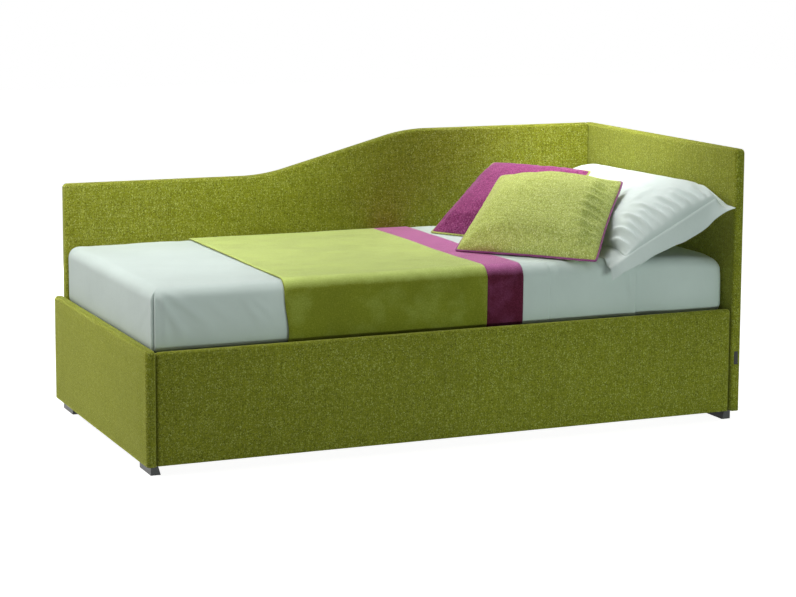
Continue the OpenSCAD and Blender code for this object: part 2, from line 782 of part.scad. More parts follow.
module guide_runners() {
    z = rail_bottom + rail_t + running_gap;
    color([0.92, 0.92, 0.9]) {
        box([box_x0 - runner_reach, runner_y0, z], [box_x0, runner_y1, z + runner_h]);
        box([box_x1, runner_y0, z], [box_x1 + runner_reach, runner_y1, z + runner_h]);
    }
}
module drawer_screws() {
    color("silver") {
        for (p = front_screws)
            translate([p[0], box_y0 + box_wall_t, p[1]]) rotate([90, 0, 0])
                screw(screw_r, screw_head_r, screw_head_h, front_screw_length);
        for (x = castor_xs) for (y = castor_ys) for (s = [-1, 1])
            translate([x, y + s * castor_screw_offset, castor_height - castor_plate_t])
                screw(screw_r, screw_head_r, screw_head_h, castor_screw_length);
    }
}

// The bedding
mattress_outline = round_rect(
    mattress_x0, mattress_x0 + mattress_length, mattress_y0, mattress_y1, mattress_corner_r);
module mattress() {
    color([0.93, 0.93, 0.9]) translate([0, 0, mattress_z0])
        rolled_slab(mattress_outline, mattress_h, mattress_roll_r);
}
// The rounded edges of a sheet at the distance g from the mattress, as [inset, height]
function upper_edge(g) = [
    for (i = [0:roll_steps]) let (a = 90 * i / roll_steps)
        [mattress_roll_r - (mattress_roll_r + g) * cos(a),
            mattress_z1 - mattress_roll_r + (mattress_roll_r + g) * sin(a)]
];
function lower_edge(g) = [
    for (i = [wrap_steps:-1:0]) let (a = 90 * i / roll_steps)
        [mattress_roll_r - (mattress_roll_r + g) * cos(a),
            mattress_z0 + mattress_roll_r - (mattress_roll_r + g) * sin(a)]
];
module fitted_sheet() {
    color([0.86, 0.91, 0.92])
        soft_shell(
            mattress_outline,
            concat(lower_edge(fitted_off + sheet_t), upper_edge(fitted_off + sheet_t)),
            concat(lower_edge(fitted_off), upper_edge(fitted_off)));
}

// A layer's section across the bed: its line at the distance g from the mattress, hem to hem
function across(g) = concat(
    [[mattress_y0 - g, hem_z]],
    arc(mattress_y0 + mattress_roll_r, mattress_z1 - mattress_roll_r, mattress_roll_r + g, 180, 90, roll_steps),
    arc(mattress_y1 - mattress_roll_r, mattress_z1 - mattress_roll_r, mattress_roll_r + g, 90, 0, roll_steps),
    [[mattress_y1 + g, hem_z]]);
module layer(x0, x1, g, t) {
    under = across(g);
    translate([x0, 0, 0]) rotate([90, 0, 90]) linear_extrude(x1 - x0)
        polygon(concat(across(g + t), [for (i = [len(under) - 1:-1:0]) under[i]]));
}
// The top sheet hangs at the foot and both sides, and is turned down once towards the foot end
module top_sheet() {
    color([0.93, 0.96, 0.97]) {
        difference() {
            soft_shell(
                mattress_outline,
                concat([[-turned_off, hem_z]], upper_edge(turned_off)),
                concat([[-top_off, hem_z]], upper_edge(top_off)));
            box([turn_down_x, front_y, mattress_z0], [outer_x1, back_y, throw_top]);
        }
        // It laps into the lower layer's thickness, so that both are one piece of cloth
        layer(band_x1 + cloth_gap, turn_down_x, turned_off - sheet_t / 2, sheet_t * 3 / 2);
    }
}
module throw() {
    color([0.72, 0.78, 0.42]) layer(throw_x0, band_x0, throw_off, throw_t);
}
module throw_band() {
    color([0.55, 0.22, 0.45]) layer(band_x0, band_x1, throw_off, throw_t);
}

// The cushions and the pillow are plain solids: an arched section, extruded along the lower edge
section_steps = 12;
seam_steps = 16;
// How far a cushion's sides are drawn in between its corners
cushion_pull_share = 0.045;

// A section of width w that rises by up and falls by down between its two thin edges
function arched(w, up, down) = concat(
    [for (i = [0:section_steps]) let (t = i / section_steps) [w * t, 4 * t * (1 - t) * up]],
    [for (i = [section_steps - 1:-1:1]) let (t = i / section_steps) [w * t, -4 * t * (1 - t) * down]]);
// From the section's own plane to the bed: place is the lower edge's left end, turn the edge's
// direction in plan, lean the angle from upright
module leaning(place, turn, lean) {
    translate(place) rotate([0, 0, turn]) rotate([90 - lean, 0, 0]) children();
}
// Everything under the height z, to cut a piece flat where it rests
module under_bed_top(z) box([well_x0, 2 * front_y, floor_gap], [well_x1, 2 * back_y, z + soft_gap]);

// A cushion leans back from its lower edge; the frame holds that edge's left end and three directions
function cushion_frame(corner, turn, lean) = [
    corner,
    [cos(turn), sin(turn), 0],
    [-sin(turn) * sin(lean), cos(turn) * sin(lean), cos(lean)],
    [sin(turn) * cos(lean), -cos(turn) * cos(lean), sin(lean)]
];
function cushion_point(f, side, u, v, h) =
    let (
        a = side / 2 * (1 + u * (1 - cushion_pull_share * (1 - v * v))),
        b = side / 2 * (1 + v * (1 - cushion_pull_share * (1 - u * u)))
    ) f[0] + f[1] * a + f[2] * b + f[3] * h;

// A closed tube along a ring of points
module ring_tube(points, r, sides) {
    n = len(points);
    rings = [
        for (i = [0:n - 1])
            let (
                d = points[(i + 1) % n] - points[(i + n - 1) % n],
                t = d / norm(d),
                b = cross(t, [0, 0, 1]) / norm(cross(t, [0, 0, 1])),
                c = cross(b, t)
            )
            [for (k = [0:sides - 1]) let (a = 360 * k / sides) points[i] + r * (cos(a) * b + sin(a) * c)]
    ];
    polyhedron(
        [for (q = rings) each q],
        [for (i = [0:n - 1]) for (k = [0:sides - 1]) [
            i * sides + k, i * sides + (k + 1) % sides,
            ((i + 1) % n) * sides + (k + 1) % sides, ((i + 1) % n) * sides + k
        ]],
        convexity = 4);
}

// The rear cushion leans on the pillow, the front one on both
cushion_seat_gap = 1.6;
rear_cushion_from_head = 711;
rear_cushion_from_back = 200;
rear_cushion_place = [
    well_x1 - rear_cushion_from_head, well_y1 - rear_cushion_from_back, turned_top + cushion_seat_gap
];
rear_cushion_turn_angle = -62.2;
rear_cushion_lean_angle = 59.2;
rear_cushion_crown = 52;
rear_cushion_under = 30;
front_cushion_from_head = 810;
front_cushion_from_back = 658;
front_cushion_place = [
    well_x1 - front_cushion_from_head, well_y1 - front_cushion_from_back, throw_top + cushion_seat_gap
];
front_cushion_turn_angle = -44.8;
front_cushion_lean_angle = 60.9;
front_cushion_crown = 62;
front_cushion_under = 30;
rear_frame = cushion_frame(rear_cushion_place, rear_cushion_turn_angle, rear_cushion_lean_angle);
front_frame = cushion_frame(front_cushion_place, front_cushion_turn_angle, front_cushion_lean_angle);

module cushion(place, turn, lean, side, up, down, rest) {
    inner = side * (1 - cushion_pull_share) - 4 * piping_r;
    edge = (side - inner) / 2;
    difference() {
        leaning(place, turn, lean) translate([edge, edge, 0]) rotate([90, 0, 90])
            linear_extrude(inner) polygon(arched(inner, up, down));
        under_bed_top(rest);
    }
}
function seam(f, side) = [
    for (e = [0:3]) for (i = [0:seam_steps - 1])
        let (
            t = -1 + 2 * i / seam_steps,
            uv = [[t, -1], [1, t], [-t, 1], [-1, -t]][e]
        )
        cushion_point(f, side, uv.x, uv.y, 0)
];
module piping(f, side) {
    g = [f[0] + (f[1] + f[2]) * piping_r, f[1], f[2], f[3]];
    ring_tube(seam(g, side - 2 * piping_r), piping_r - soft_gap, 6);
}
module rear_cushion() {
    color([0.6, 0.24, 0.5])
        cushion(rear_cushion_place, rear_cushion_turn_angle, rear_cushion_lean_angle,
            rear_cushion_side, rear_cushion_crown, rear_cushion_under, turned_top);
}
module rear_cushion_piping() {
    color([0.7, 0.75, 0.35]) piping(rear_frame, rear_cushion_side);
}
module front_cushion() {
    color([0.72, 0.78, 0.42])
        cushion(front_cushion_place, front_cushion_turn_angle, front_cushion_lean_angle,
            front_cushion_side, front_cushion_crown, front_cushion_under, throw_top);
}
module front_cushion_piping() {
    color([0.5, 0.2, 0.4]) piping(front_frame, front_cushion_side);
}

// The pillow leans on the head panel
pillow_front_gap = 4;
pillow_reach = 432;
pillow_seat_gap = 0.5;
pillow_front_y = front_y + pillow_front_gap;
pillow_length = well_y1 - pillow_rear_gap - pillow_front_y;
pillow_low_x = well_x1 - pillow_reach;
pillow_low_z = turned_top + pillow_seat_gap;
pillow_rise = 192;
pillow_crown = 50;
pillow_under = 50;
module pillow() {
    color([0.96, 0.97, 0.98]) difference() {
        translate([pillow_low_x, pillow_front_y, pillow_low_z]) rotate([0, -asin(pillow_rise / pillow_width), 0])
            translate([0, pillow_length, 0]) rotate([90, 0, 0])
            linear_extrude(pillow_length) polygon(arched(pillow_width, pillow_crown, pillow_under));
        under_bed_top(turned_top);
        box([well_x1 - soft_gap, 2 * front_y, floor_gap], [2 * outer_x1, 2 * back_y, 2 * head_height]);
    }
}

foot_panel_board();
foot_panel_cover();
head_panel_board();
head_panel_cover();
back_panel_board();
back_panel_cover();
side_tab();
rear_bracket_foot();
rear_bracket_head();
front_bracket_foot();
front_bracket_head();
bracket_bolts();
insert_nuts();
base_tube_front();
base_tube_rear();
base_tube_foot();
base_tube_head();
base_cross_tube();
slat_holders();
for (i = [1:slat_pairs]) slat_pair(i);
foot_front_left();
foot_front_right();
foot_rear_left();
foot_rear_right();
panel_screws();
guide_rail_left();
guide_rail_right();
drawer_front_board();
drawer_front_cover();
box_front_wall();
box_back_wall();
box_side_left();
box_side_right();
box_divider();
box_bottom_left();
box_bottom_right();
castor_brackets();
castor_axles();
guide_runners();
drawer_screws();
wheel_front_left();
wheel_front_right();
wheel_rear_left();
wheel_rear_right();
mattress();
fitted_sheet();
top_sheet();
throw();
throw_band();
pillow();
rear_cushion();
rear_cushion_piping();
front_cushion();
front_cushion_piping();
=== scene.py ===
import json
import math
from fnmatch import fnmatch
import bmesh
import bpy
import numpy as np
from mathutils import Matrix, Vector, geometry


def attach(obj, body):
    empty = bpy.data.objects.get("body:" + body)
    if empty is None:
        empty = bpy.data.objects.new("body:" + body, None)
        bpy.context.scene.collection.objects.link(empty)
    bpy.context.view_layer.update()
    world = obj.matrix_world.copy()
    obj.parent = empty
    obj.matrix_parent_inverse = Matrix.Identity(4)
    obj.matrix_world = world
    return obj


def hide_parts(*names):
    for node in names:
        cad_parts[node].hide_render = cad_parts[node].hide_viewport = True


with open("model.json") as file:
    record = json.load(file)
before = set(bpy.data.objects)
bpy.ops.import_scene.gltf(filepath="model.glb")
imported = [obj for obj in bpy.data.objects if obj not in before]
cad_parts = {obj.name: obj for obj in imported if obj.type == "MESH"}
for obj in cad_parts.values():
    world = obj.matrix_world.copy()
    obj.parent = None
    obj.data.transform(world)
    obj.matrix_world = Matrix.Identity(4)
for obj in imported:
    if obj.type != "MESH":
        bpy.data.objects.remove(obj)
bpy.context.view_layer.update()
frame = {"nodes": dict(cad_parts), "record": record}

# ---------------------------------------------------------------- camera, light, floor
scene = bpy.context.scene
scene.view_settings.view_transform = "Standard"

# The camera fitted to the photograph. Its place is in metres, its heading, fall and roll are in degrees, and the lens
# shift frames the bed with upright edges that stay nearly upright
CAMERA_PLACE, HEADING, FALL, ROLL = (-2.7880, -6.5049, 1.5936), -23.910, 7.668, 0.322
LENS_MM, SENSOR_MM, SHIFT_X, SHIFT_Y = 99.667, 36, -0.0300, -0.1005
camera = bpy.data.objects.new("camera", bpy.data.cameras.new("camera"))
scene.collection.objects.link(camera)
camera.matrix_world = (
    Matrix.Translation(CAMERA_PLACE) @ Matrix.Rotation(math.radians(HEADING), 4, "Z")
    @ Matrix.Rotation(math.radians(90 - FALL), 4, "X") @ Matrix.Rotation(math.radians(ROLL), 4, "Z"))
camera.data.lens, camera.data.sensor_width = LENS_MM, SENSOR_MM
camera.data.shift_x, camera.data.shift_y = SHIFT_X, SHIFT_Y
scene.camera = camera


def area_light(name, place, aim, size, power, color=(1, 1, 0.98), across=(0, 1, 0), spread=180):
    """A soft lamp at a place, aimed at a point; size is its extent along across, and square to that."""
    lamp = bpy.data.lights.new(name, "AREA")
    lamp.shape = "RECTANGLE"
    lamp.size, lamp.size_y = size
    lamp.energy = power
    lamp.color = color
    lamp.spread = math.radians(spread)
    back = (Vector(place) - Vector(aim)).normalized()
    side = Vector(across) - back * back.dot(Vector(across))
    side.normalize()
    o = bpy.data.objects.new(name, lamp)
    scene.collection.objects.link(o)
    o.matrix_world = Matrix.Translation(place) @ Matrix((side, back.cross(side), back)).transposed().to_4x4()


area_light("key", (-3.2, 0.05, 2.9), (0.0, 0.0, 0.4), (0.9, 1.9), 76, (1, 0.99, 0.96))
area_light("over_bed", (-0.2, 0.05, 3.1), (0.0, 0.0, 0.3), (0.7, 2.6), 26, (0.98, 1, 1))
area_light("over_head_end", (0.80, 0.44, 2.0), (0.66, 0.0, 0.6), (0.4, 0.4), 2.5, spread=60)
area_light("front_fill", (1.0, -3.2, 0.15), (0.1, 0.0, 0.40), (1.8, 0.24), 27, (0.86, 1, 0.93), (1, 0, 0))
area_light("rear_fill", (0.3, 3.4, 0.6), (0.0, 0.5, 0.45), (1.8, 0.6), 30, across=(1, 0, 0))
area_light("head_side_fill", (3.3, 0.5, 0.7), (1.0, 0.1, 0.45), (0.9, 0.6), 14)
area_light("left_wash", (-0.9, -1.5, 2.1), (-0.70, 0.47, 0.62), (0.5, 0.5), 2.4, spread=46)
area_light("right_wash", (0.62, -1.4, 2.1), (0.82, 0.47, 0.80), (0.4, 0.4), 1.5, spread=27)


class Nodes:
    """The node tree of a material, or of the world, with short calls to add and join nodes."""

    def __init__(self, name, collection=bpy.data.materials):
        self.owner = collection.new(name)
        self.owner.use_nodes = True
        self.tree = self.owner.node_tree
        self.tree.nodes.clear()

    def add(self, kind, props=None, **inputs):
        node = self.tree.nodes.new("ShaderNode" + kind)
        for key, value in (props or {}).items():
            setattr(node, key, value)
        for key, value in inputs.items():
            self.put(node, key, value)
        return node

    def put(self, node, key, value):
        """Joins or sets one input: i6 is the input with number 6, and Sheen_Tint the one called Sheen Tint."""
        if key[0] == "i" and key[1:].isdigit():
            socket = node.inputs[int(key[1:])]
        else:
            socket = node.inputs[key.replace("_", " ")]
        if isinstance(value, bpy.types.NodeSocket):
            self.tree.links.new(value, socket)
        elif socket.type == "RGBA":
            socket.default_value = (*value, 1)
        else:
            socket.default_value = value

    def coords(self, scale=(1, 1, 1), turn=0.0):
        """The place on the piece, scaled and then turned about the upright axis."""
        place = self.add("TexCoord").outputs["Object"]
        return self.add("Mapping", Vector=place, Rotation=(0, 0, turn), Scale=scale).outputs[0]

    def noise(self, vector, scale, detail=2.0, rough=0.5):
        return self.add("TexNoise", Vector=vector, Scale=scale, Detail=detail, Roughness=rough).outputs["Fac"]

    def math(self, operation, a, b=0.0, c=0.0):
        return self.add("Math", {"operation": operation}, i0=a, i1=b, i2=c).outputs[0]

    def span(self, value, low, high, to_low, to_high):
        return self.add("MapRange", i0=value, i1=low, i2=high, i3=to_low, i4=to_high).outputs[0]

    def mix(self, share, a, b, blend="MIX"):
        props = {"data_type": "RGBA", "blend_type": blend}
        return self.add("Mix", props, i0=share, i6=a, i7=b).outputs[2]

    def toned(self, color, tone):
        """The colour made lighter or darker by a number."""
        return self.mix(1.0, color, self.add("CombineColor", i0=tone, i1=tone, i2=tone).outputs[0], "MULTIPLY")

    def seen(self):
        """1 for the rays that show the background itself, and 0 for those that light the bed."""
        path = self.add("LightPath").outputs
        share = self.math("MAXIMUM", path["Is Camera Ray"], path["Is Glossy Ray"])
        return self.math("MAXIMUM", share, path["Is Transmission Ray"])

    def ramp(self, value, *stops):
        node = self.add("ValToRGB", Fac=value)
        e = node.color_ramp.elements
        while len(e) < len(stops):
            e.new(0.5)
        for i, (at, color) in enumerate(stops):
            e[i].position = at
            e[i].color = (*color, 1)
        return node.outputs[0]

    def bump(self, height, strength, distance, below=None):
        extra = {} if below is None else {"Normal": below}
        return self.add("Bump", Height=height, Strength=strength, Distance=distance, **extra).outputs[0]

    def shader(self, color, roughness, normal=None, **more):
        extra = {} if normal is None else {"Normal": normal}
        bsdf = self.add("BsdfPrincipled", Base_Color=color, Roughness=roughness, **extra, **more)
        self.add("OutputMaterial", Surface=bsdf.outputs[0])
        return self.owner


def shade(color, k):
    """The colour times a number."""
    return tuple(c * k for c in color)


# The floor and the world are pure white where the camera sees them, and light the bed at a plain level
FLOOR_HALF, FLOOR_GLOW, AMBIENT = 14, 0.935, 0.14


def floor_material():
    n = Nodes("pale_floor")
    grain = n.noise(n.coords(), 3.0, 3)
    color = n.mix(grain, (0.50, 0.50, 0.50), (0.55, 0.55, 0.55))
    diffuse = n.add("BsdfDiffuse", Color=color).outputs[0]
    glow = n.add("Emission", Color=(1, 1, 1), Strength=n.math("MULTIPLY", n.seen(), FLOOR_GLOW)).outputs[0]
    n.add("OutputMaterial", Surface=n.add("AddShader", i0=diffuse, i1=glow).outputs[0])
    return n.owner


def world_light():
    n = Nodes("studio", bpy.data.worlds)
    level = n.span(n.seen(), 0.0, 1.0, AMBIENT, 1.0)
    n.add("OutputWorld", i0=n.add("Background", i0=(1, 1, 1), i1=level).outputs[0])
    return n.owner


scene.world = world_light()
floor_mesh = bpy.data.meshes.new("floor")
floor_mesh.from_pydata([(FLOOR_HALF * a, FLOOR_HALF * b, 0) for a, b in ((-1, -1), (1, -1), (1, 1), (-1, 1))],
                       [], [(0, 1, 2, 3)])
floor = bpy.data.objects.new("floor", floor_mesh)
floor_mesh.materials.append(floor_material())
scene.collection.objects.link(floor)


# ---------------------------------------------------------------- materials
def upholstery(name, dark, middle, light, cell=460.0, sheen=(0.90, 0.96, 0.24), pile=1.0):
    """A speckled chenille: a cell for each tuft, threads that run upright, and a soft pile."""
    n = Nodes(name)
    tufts = n.add("TexVoronoi", Vector=n.coords((1, 1, 0.75)), Scale=cell, Randomness=1.0)
    pick = n.add("SeparateColor", i0=tufts.outputs["Color"]).outputs[0]
    color = n.ramp(pick, (0.0, dark), (0.25, shade(middle, 0.80)), (0.55, middle),
                   (0.82, shade(middle, 1.22)), (1.0, light))
    threads = n.noise(n.coords((1, 1, 0.035)), 300.0, 2, 0.6)
    color = n.mix(n.span(threads, 0.42, 0.70, 0.0, 0.42), color, shade(dark, 1.3))
    rows = n.noise(n.coords((0.06, 0.06, 1)), 260.0, 2, 0.6)
    color = n.mix(n.span(rows, 0.50, 0.75, 0.0, 0.22), color, shade(light, 0.9))
    color = n.toned(color, n.span(n.noise(n.coords(), 2.6, 3), 0.3, 0.7, 0.93, 1.06))
    height = n.math("SUBTRACT", n.math("ADD", 0.6, n.math("MULTIPLY", rows, 0.3)), tufts.outputs["Distance"])
    height = n.math("ADD", height, n.math("MULTIPLY", threads, 0.9))
    normal = n.bump(height, 0.5, 0.0010)
    return n.shader(color, 0.88, normal, Sheen_Weight=pile, Sheen_Roughness=0.4,
                    Sheen_Tint=sheen, Specular_IOR_Level=0.15)


def felt(name, base, fleck, lit_top_base, lit_top_fleck, sheen_tint):
    """A felted wool: short fibres in every direction; it is painted paler where the cloth lies flat and faces up, and
    darker where it hangs: painted top light and painted side shade.
    """
    n = Nodes(name)
    place = n.coords()
    fibres = n.noise(n.coords((1, 2.6, 1.3), 0.6), 230.0, 3, 0.65)
    crossing = n.noise(n.coords((2.6, 1, 1.6), -0.7), 260.0, 3, 0.65)
    both = n.math("MULTIPLY", n.math("ADD", fibres, crossing), 0.5)
    # A darker copy of the felt's colour for cloth that hangs, and a lighter copy for cloth that faces up: painted side
    # shade and painted top light
    painted_side_shade = n.ramp(both, (0.34, shade(base, 0.78)), (0.5, base), (0.64, fleck))
    painted_top_light = n.ramp(both, (0.34, shade(lit_top_base, 0.82)), (0.5, lit_top_base), (0.64, lit_top_fleck))
    # The lighter copy is mixed in as far as the surface faces up, with noise that makes the change uneven: painted top
    # light
    upward = n.add("SeparateXYZ", Vector=n.add("TexCoord").outputs["Normal"]).outputs["Z"]
    painted_top_light_share = n.math("ADD", n.span(upward, 0.25, 0.95, 0.0, 1.0), n.span(n.noise(place, 14.0, 4), 0.3, 0.7, -0.14, 0.14))
    color = n.mix(n.span(painted_top_light_share, 0.0, 1.0, 0.0, 1.0), painted_side_shade, painted_top_light)
    color = n.toned(color, n.span(n.noise(place, 9.0, 3), 0.3, 0.7, 0.94, 1.06))
    normal = n.bump(both, 0.6, 0.0016)
    return n.shader(color, 0.95, normal, Sheen_Weight=0.6, Sheen_Roughness=0.4,
                    Sheen_Tint=sheen_tint, Specular_IOR_Level=0.15)


def cotton(name, base, bright):
    """A smooth percale: a fine plain weave with a few slubs, and faint creases from folding."""
    n = Nodes(name)
    warp = n.noise(n.coords((1, 0.12, 0.12)), 900.0, 1)
    weft = n.noise(n.coords((0.12, 1, 1)), 900.0, 1)
    weave = n.math("ADD", warp, weft)
    slubs = n.noise(n.coords((1, 0.08, 0.3)), 160.0, 2)
    soft = n.noise(n.coords(), 7.0, 3)
    color = n.mix(n.span(soft, 0.3, 0.7, 0.0, 1.0), shade(base, 0.985), bright)
    color = n.mix(n.span(slubs, 0.62, 0.75, 0.0, 0.25), color, shade(base, 0.93))
    creases = n.noise(n.coords((1, 2.2, 1.4), 0.5), 26.0, 3)
    low = n.bump(creases, 0.25, 0.0022)
    normal = n.bump(weave, 0.18, 0.0003, low)
    return n.shader(color, 0.72, normal, Sheen_Weight=0.08, Specular_IOR_Level=0.3)


def cord(name, base, light):
    """A twisted cord: strands wound round it, with a fuzz."""
    n = Nodes(name)
    place = n.coords()
    twist = n.add("TexWave", {"wave_type": "BANDS", "bands_direction": "DIAGONAL"},
                  Vector=place, Scale=120.0, Distortion=1.5, Detail=1.0).outputs["Fac"]
    color = n.mix(twist, shade(base, 0.72), light)
    fuzz = n.noise(place, 900.0, 2)
    normal = n.bump(n.math("ADD", twist, fuzz), 0.5, 0.0008)
    return n.shader(color, 0.85, normal, Sheen_Weight=0.2, Specular_IOR_Level=0.2)


def ticking(name):
    """Quilted ticking with thin stripes."""
    n = Nodes(name)
    place = n.coords()
    quilt = n.add("TexVoronoi", {"feature": "SMOOTH_F1"}, Vector=place, Scale=9.0, Randomness=0.35)
    stripes = n.add("TexWave", {"wave_type": "BANDS"}, Vector=place, Scale=60.0, Distortion=0.4).outputs["Fac"]
    color = n.mix(n.span(stripes, 0.4, 0.6, 0.0, 0.3), (0.82, 0.82, 0.79), (0.68, 0.70, 0.69))
    weave = n.noise(place, 1100.0, 2)
    low = n.bump(quilt.outputs["Distance"], 0.5, 0.006)
    return n.shader(color, 0.85, n.bump(weave, 0.3, 0.0004, low), Specular_IOR_Level=0.2)


def wood(name, base, grain, along, scale=22.0, rough=0.5):
    """Plain wood whose grain runs along the axis with this number."""
    n = Nodes(name)
    stretch = [1.0, 1.0, 1.0]
    stretch[along] = 0.06
    place = n.coords(stretch)
    rings = n.noise(place, scale, 5, 0.62)
    pores = n.noise(place, scale * 14, 2)
    color = n.ramp(rings, (0.32, shade(grain, 0.9)), (0.52, base), (0.7, shade(base, 1.1)))
    color = n.mix(n.span(pores, 0.58, 0.72, 0.0, 0.5), color, shade(grain, 0.7))
    normal = n.bump(n.math("ADD", rings, pores), 0.2, 0.0004)
    return n.shader(color, rough, normal, Specular_IOR_Level=0.4)


def chipboard(name, base, chip, cell=190.0, rough=0.75):
    """Pressed board: flat chips of two tones."""
    n = Nodes(name)
    chips = n.add("TexVoronoi", Vector=n.coords((1, 1, 0.5)), Scale=cell)
    pick = n.add("SeparateColor", i0=chips.outputs["Color"]).outputs[0]
    dust = n.noise(n.coords(), cell * 3, 2)
    color = n.ramp(pick, (0.0, chip), (0.5, base), (1.0, shade(base, 1.12)))
    color = n.mix(n.span(dust, 0.3, 0.7, 0.0, 0.3), color, shade(chip, 1.1))
    return n.shader(color, rough, n.bump(pick, 0.15, 0.0003))


def metal(name, base, rough, metallic, fleck=500.0):
    """Paint or plating: a fine orange peel, and a sheen that wear makes uneven."""
    n = Nodes(name)
    place = n.coords()
    orange_peel = n.noise(place, fleck, 3)
    wear = n.noise(place, 14.0, 4, 0.6)
    color = n.mix(n.span(wear, 0.35, 0.7, 0.0, 1.0), shade(base, 0.88), shade(base, 1.08))
    gloss = n.span(wear, 0.3, 0.7, rough * 0.85, rough * 1.2)
    return n.shader(color, gloss, n.bump(orange_peel, 0.12, 0.0003), Metallic=metallic)


def plastic(name, base, rough, grain=800.0):
    """Moulded plastic or rubber with a fine grain and light scuffs."""
    n = Nodes(name)
    spark = n.noise(n.coords(), grain, 2)
    scuffs = n.noise(n.coords((1, 0.2, 1)), 60.0, 4, 0.7)
    color = n.mix(n.span(scuffs, 0.5, 0.75, 0.0, 0.6), base, [min(1, c * 1.25 + 0.01) for c in base])
    return n.shader(color, n.span(scuffs, 0.3, 0.7, rough * 0.9, rough * 1.15), n.bump(spark, 0.2, 0.0003))


def woven_tab(name):
    """A plain black ribbon's weave."""
    n = Nodes(name)
    place = n.coords()
    warp = n.add("TexWave", {"bands_direction": "Z"}, Vector=place, Scale=520.0).outputs["Fac"]
    weft = n.add("TexWave", {"bands_direction": "X"}, Vector=place, Scale=520.0).outputs["Fac"]
    grid = n.math("MULTIPLY", warp, weft)
    color = n.mix(grid, (0.006, 0.006, 0.006), (0.02, 0.02, 0.022))
    return n.shader(color, 0.7, n.bump(grid, 0.4, 0.0004), Sheen_Weight=0.1)


finishes = {
    "green_upholstery": upholstery(
        "green_upholstery_weave", (0.082, 0.088, 0.004), (0.232, 0.252, 0.017), (0.46, 0.50, 0.14)),
    # In each felt the first two colours are the darker copy painted as side shade, and the next two the lighter copy
    # painted as top light
    "green_felt": felt(
        "green_felt_wool", (0.195, 0.222, 0.014), (0.295, 0.32, 0.038),
        (0.58, 0.70, 0.18), (0.72, 0.82, 0.31), (0.9, 0.95, 0.7)),
    "mauve_felt": felt(
        "mauve_felt_wool", (0.088, 0.009, 0.027), (0.16, 0.024, 0.060),
        (0.54, 0.14, 0.37), (0.70, 0.27, 0.54), (0.9, 0.6, 0.8)),
    "mauve_weave": upholstery(
        "mauve_weave_cloth", (0.112, 0.013, 0.059), (0.262, 0.045, 0.158), (0.45, 0.13, 0.31),
        430.0, (0.9, 0.5, 0.8), 0.3),
    "green_weave": upholstery(
        "green_weave_cloth", (0.275, 0.31, 0.047), (0.485, 0.545, 0.145), (0.75, 0.80, 0.37),
        430.0, (0.85, 0.90, 0.62), 0.3),
    "green_piping": cord("green_piping_cord", (0.40, 0.45, 0.08), (0.58, 0.62, 0.20)),
    "mauve_piping": cord("mauve_piping_cord", (0.26, 0.05, 0.18), (0.42, 0.12, 0.32)),
    "white_cotton": cotton("white_cotton_percale", (0.578, 0.664, 0.632), (0.61, 0.697, 0.665)),
    "pillow_cotton": cotton("pillow_cotton_percale", (0.615, 0.69, 0.668), (0.65, 0.72, 0.698)),
    "mattress_ticking": ticking("mattress_ticking_cloth"),
    "panel_board": chipboard("panel_chipboard", (0.60, 0.45, 0.28), (0.38, 0.26, 0.14)),
    "box_board": chipboard("box_melamine", (0.80, 0.77, 0.70), (0.74, 0.71, 0.64), 420.0, 0.45),
    "beech_slats": wood("beech_slat_wood", (0.74, 0.56, 0.35), (0.55, 0.37, 0.20), 1),
    "grey_steel": metal("grey_steel_paint", (0.20, 0.21, 0.22), 0.42, 0.2),
    "zinc_steel": metal("zinc_steel_plate", (0.62, 0.62, 0.60), 0.34, 1.0, 260.0),
    "black_plastic": plastic("black_plastic_matte", (0.03, 0.03, 0.032), 0.55),
    "feet_plastic": plastic("feet_plastic_satin", (0.016, 0.017, 0.018), 0.38),
    "white_nylon": plastic("white_nylon_smooth", (0.84, 0.84, 0.82), 0.35),
    "wheel_rubber": plastic("wheel_rubber_matte", (0.045, 0.045, 0.047), 0.7, 300.0),
    "black_tab": woven_tab("black_tab_weave"),
}
for group in frame["record"]["materials"]:
    assert group["slot"] in finishes, group["slot"]


# The finish of each CAD node that stays in view is the first whose pattern its name matches
NODE_FINISHES = {
    "*_board": "panel_board", "box_*": "box_board", "slat_pair*": "beech_slats", "foot_*": "feet_plastic",
    "wheel_*": "wheel_rubber", "base_*": "grey_steel", "*_bracket_*": "grey_steel", "slat_holders": "black_plastic",
    "side_tab": "black_tab", "guide_runners": "white_nylon", "*": "zinc_steel"}
for name, o in frame["nodes"].items():
    o.data.materials.clear()
    o.data.materials.append(finishes[next(f for pattern, f in NODE_FINISHES.items() if fnmatch(name, pattern))])


# ---------------------------------------------------------------- mesh tools
def smooth_step(x, low, high):
    """0 below low and 1 above high, with a soft rise between them."""
    t = np.clip((np.asarray(x, float) - low) / (high - low), 0, 1)
    return t * t * (3 - 2 * t)


def lattice(ix, iy, seed):
    """A fixed pseudo-random number from -1 to 1 for each pair of whole numbers."""
    h = (ix * 374761393 + iy * 668265263 + seed * 974634777) & 0xFFFFFFFF
    h = ((h ^ (h >> 13)) * 1274126177) & 0xFFFFFFFF
    return ((h ^ (h >> 16)) & 0xFFFF) / 32767.5 - 1


def value_noise(x, y, seed):
    """Smooth noise from -1 to 1 over a plane, with one swing per unit."""
    x, y = np.asarray(x, float), np.asarray(y, float)
    ix, iy = np.floor(x).astype(np.int64), np.floor(y).astype(np.int64)
    fx, fy = x - ix, y - iy
    fx, fy = fx ** 3 * (fx * (fx * 6 - 15) + 10), fy ** 3 * (fy * (fy * 6 - 15) + 10)
    a, b = lattice(ix, iy, seed), lattice(ix + 1, iy, seed)
    c, d = lattice(ix, iy + 1, seed), lattice(ix + 1, iy + 1, seed)
    return (a * (1 - fx) + b * fx) * (1 - fy) + (c * (1 - fx) + d * fx) * fy


def layered_noise(x, y, seed):
    """Three layers of smooth noise, each twice as fine and half as strong as the one before."""
    return sum(value_noise(x * 2 ** k, y * 2 ** k, seed + k) * 0.5 ** k for k in range(3))


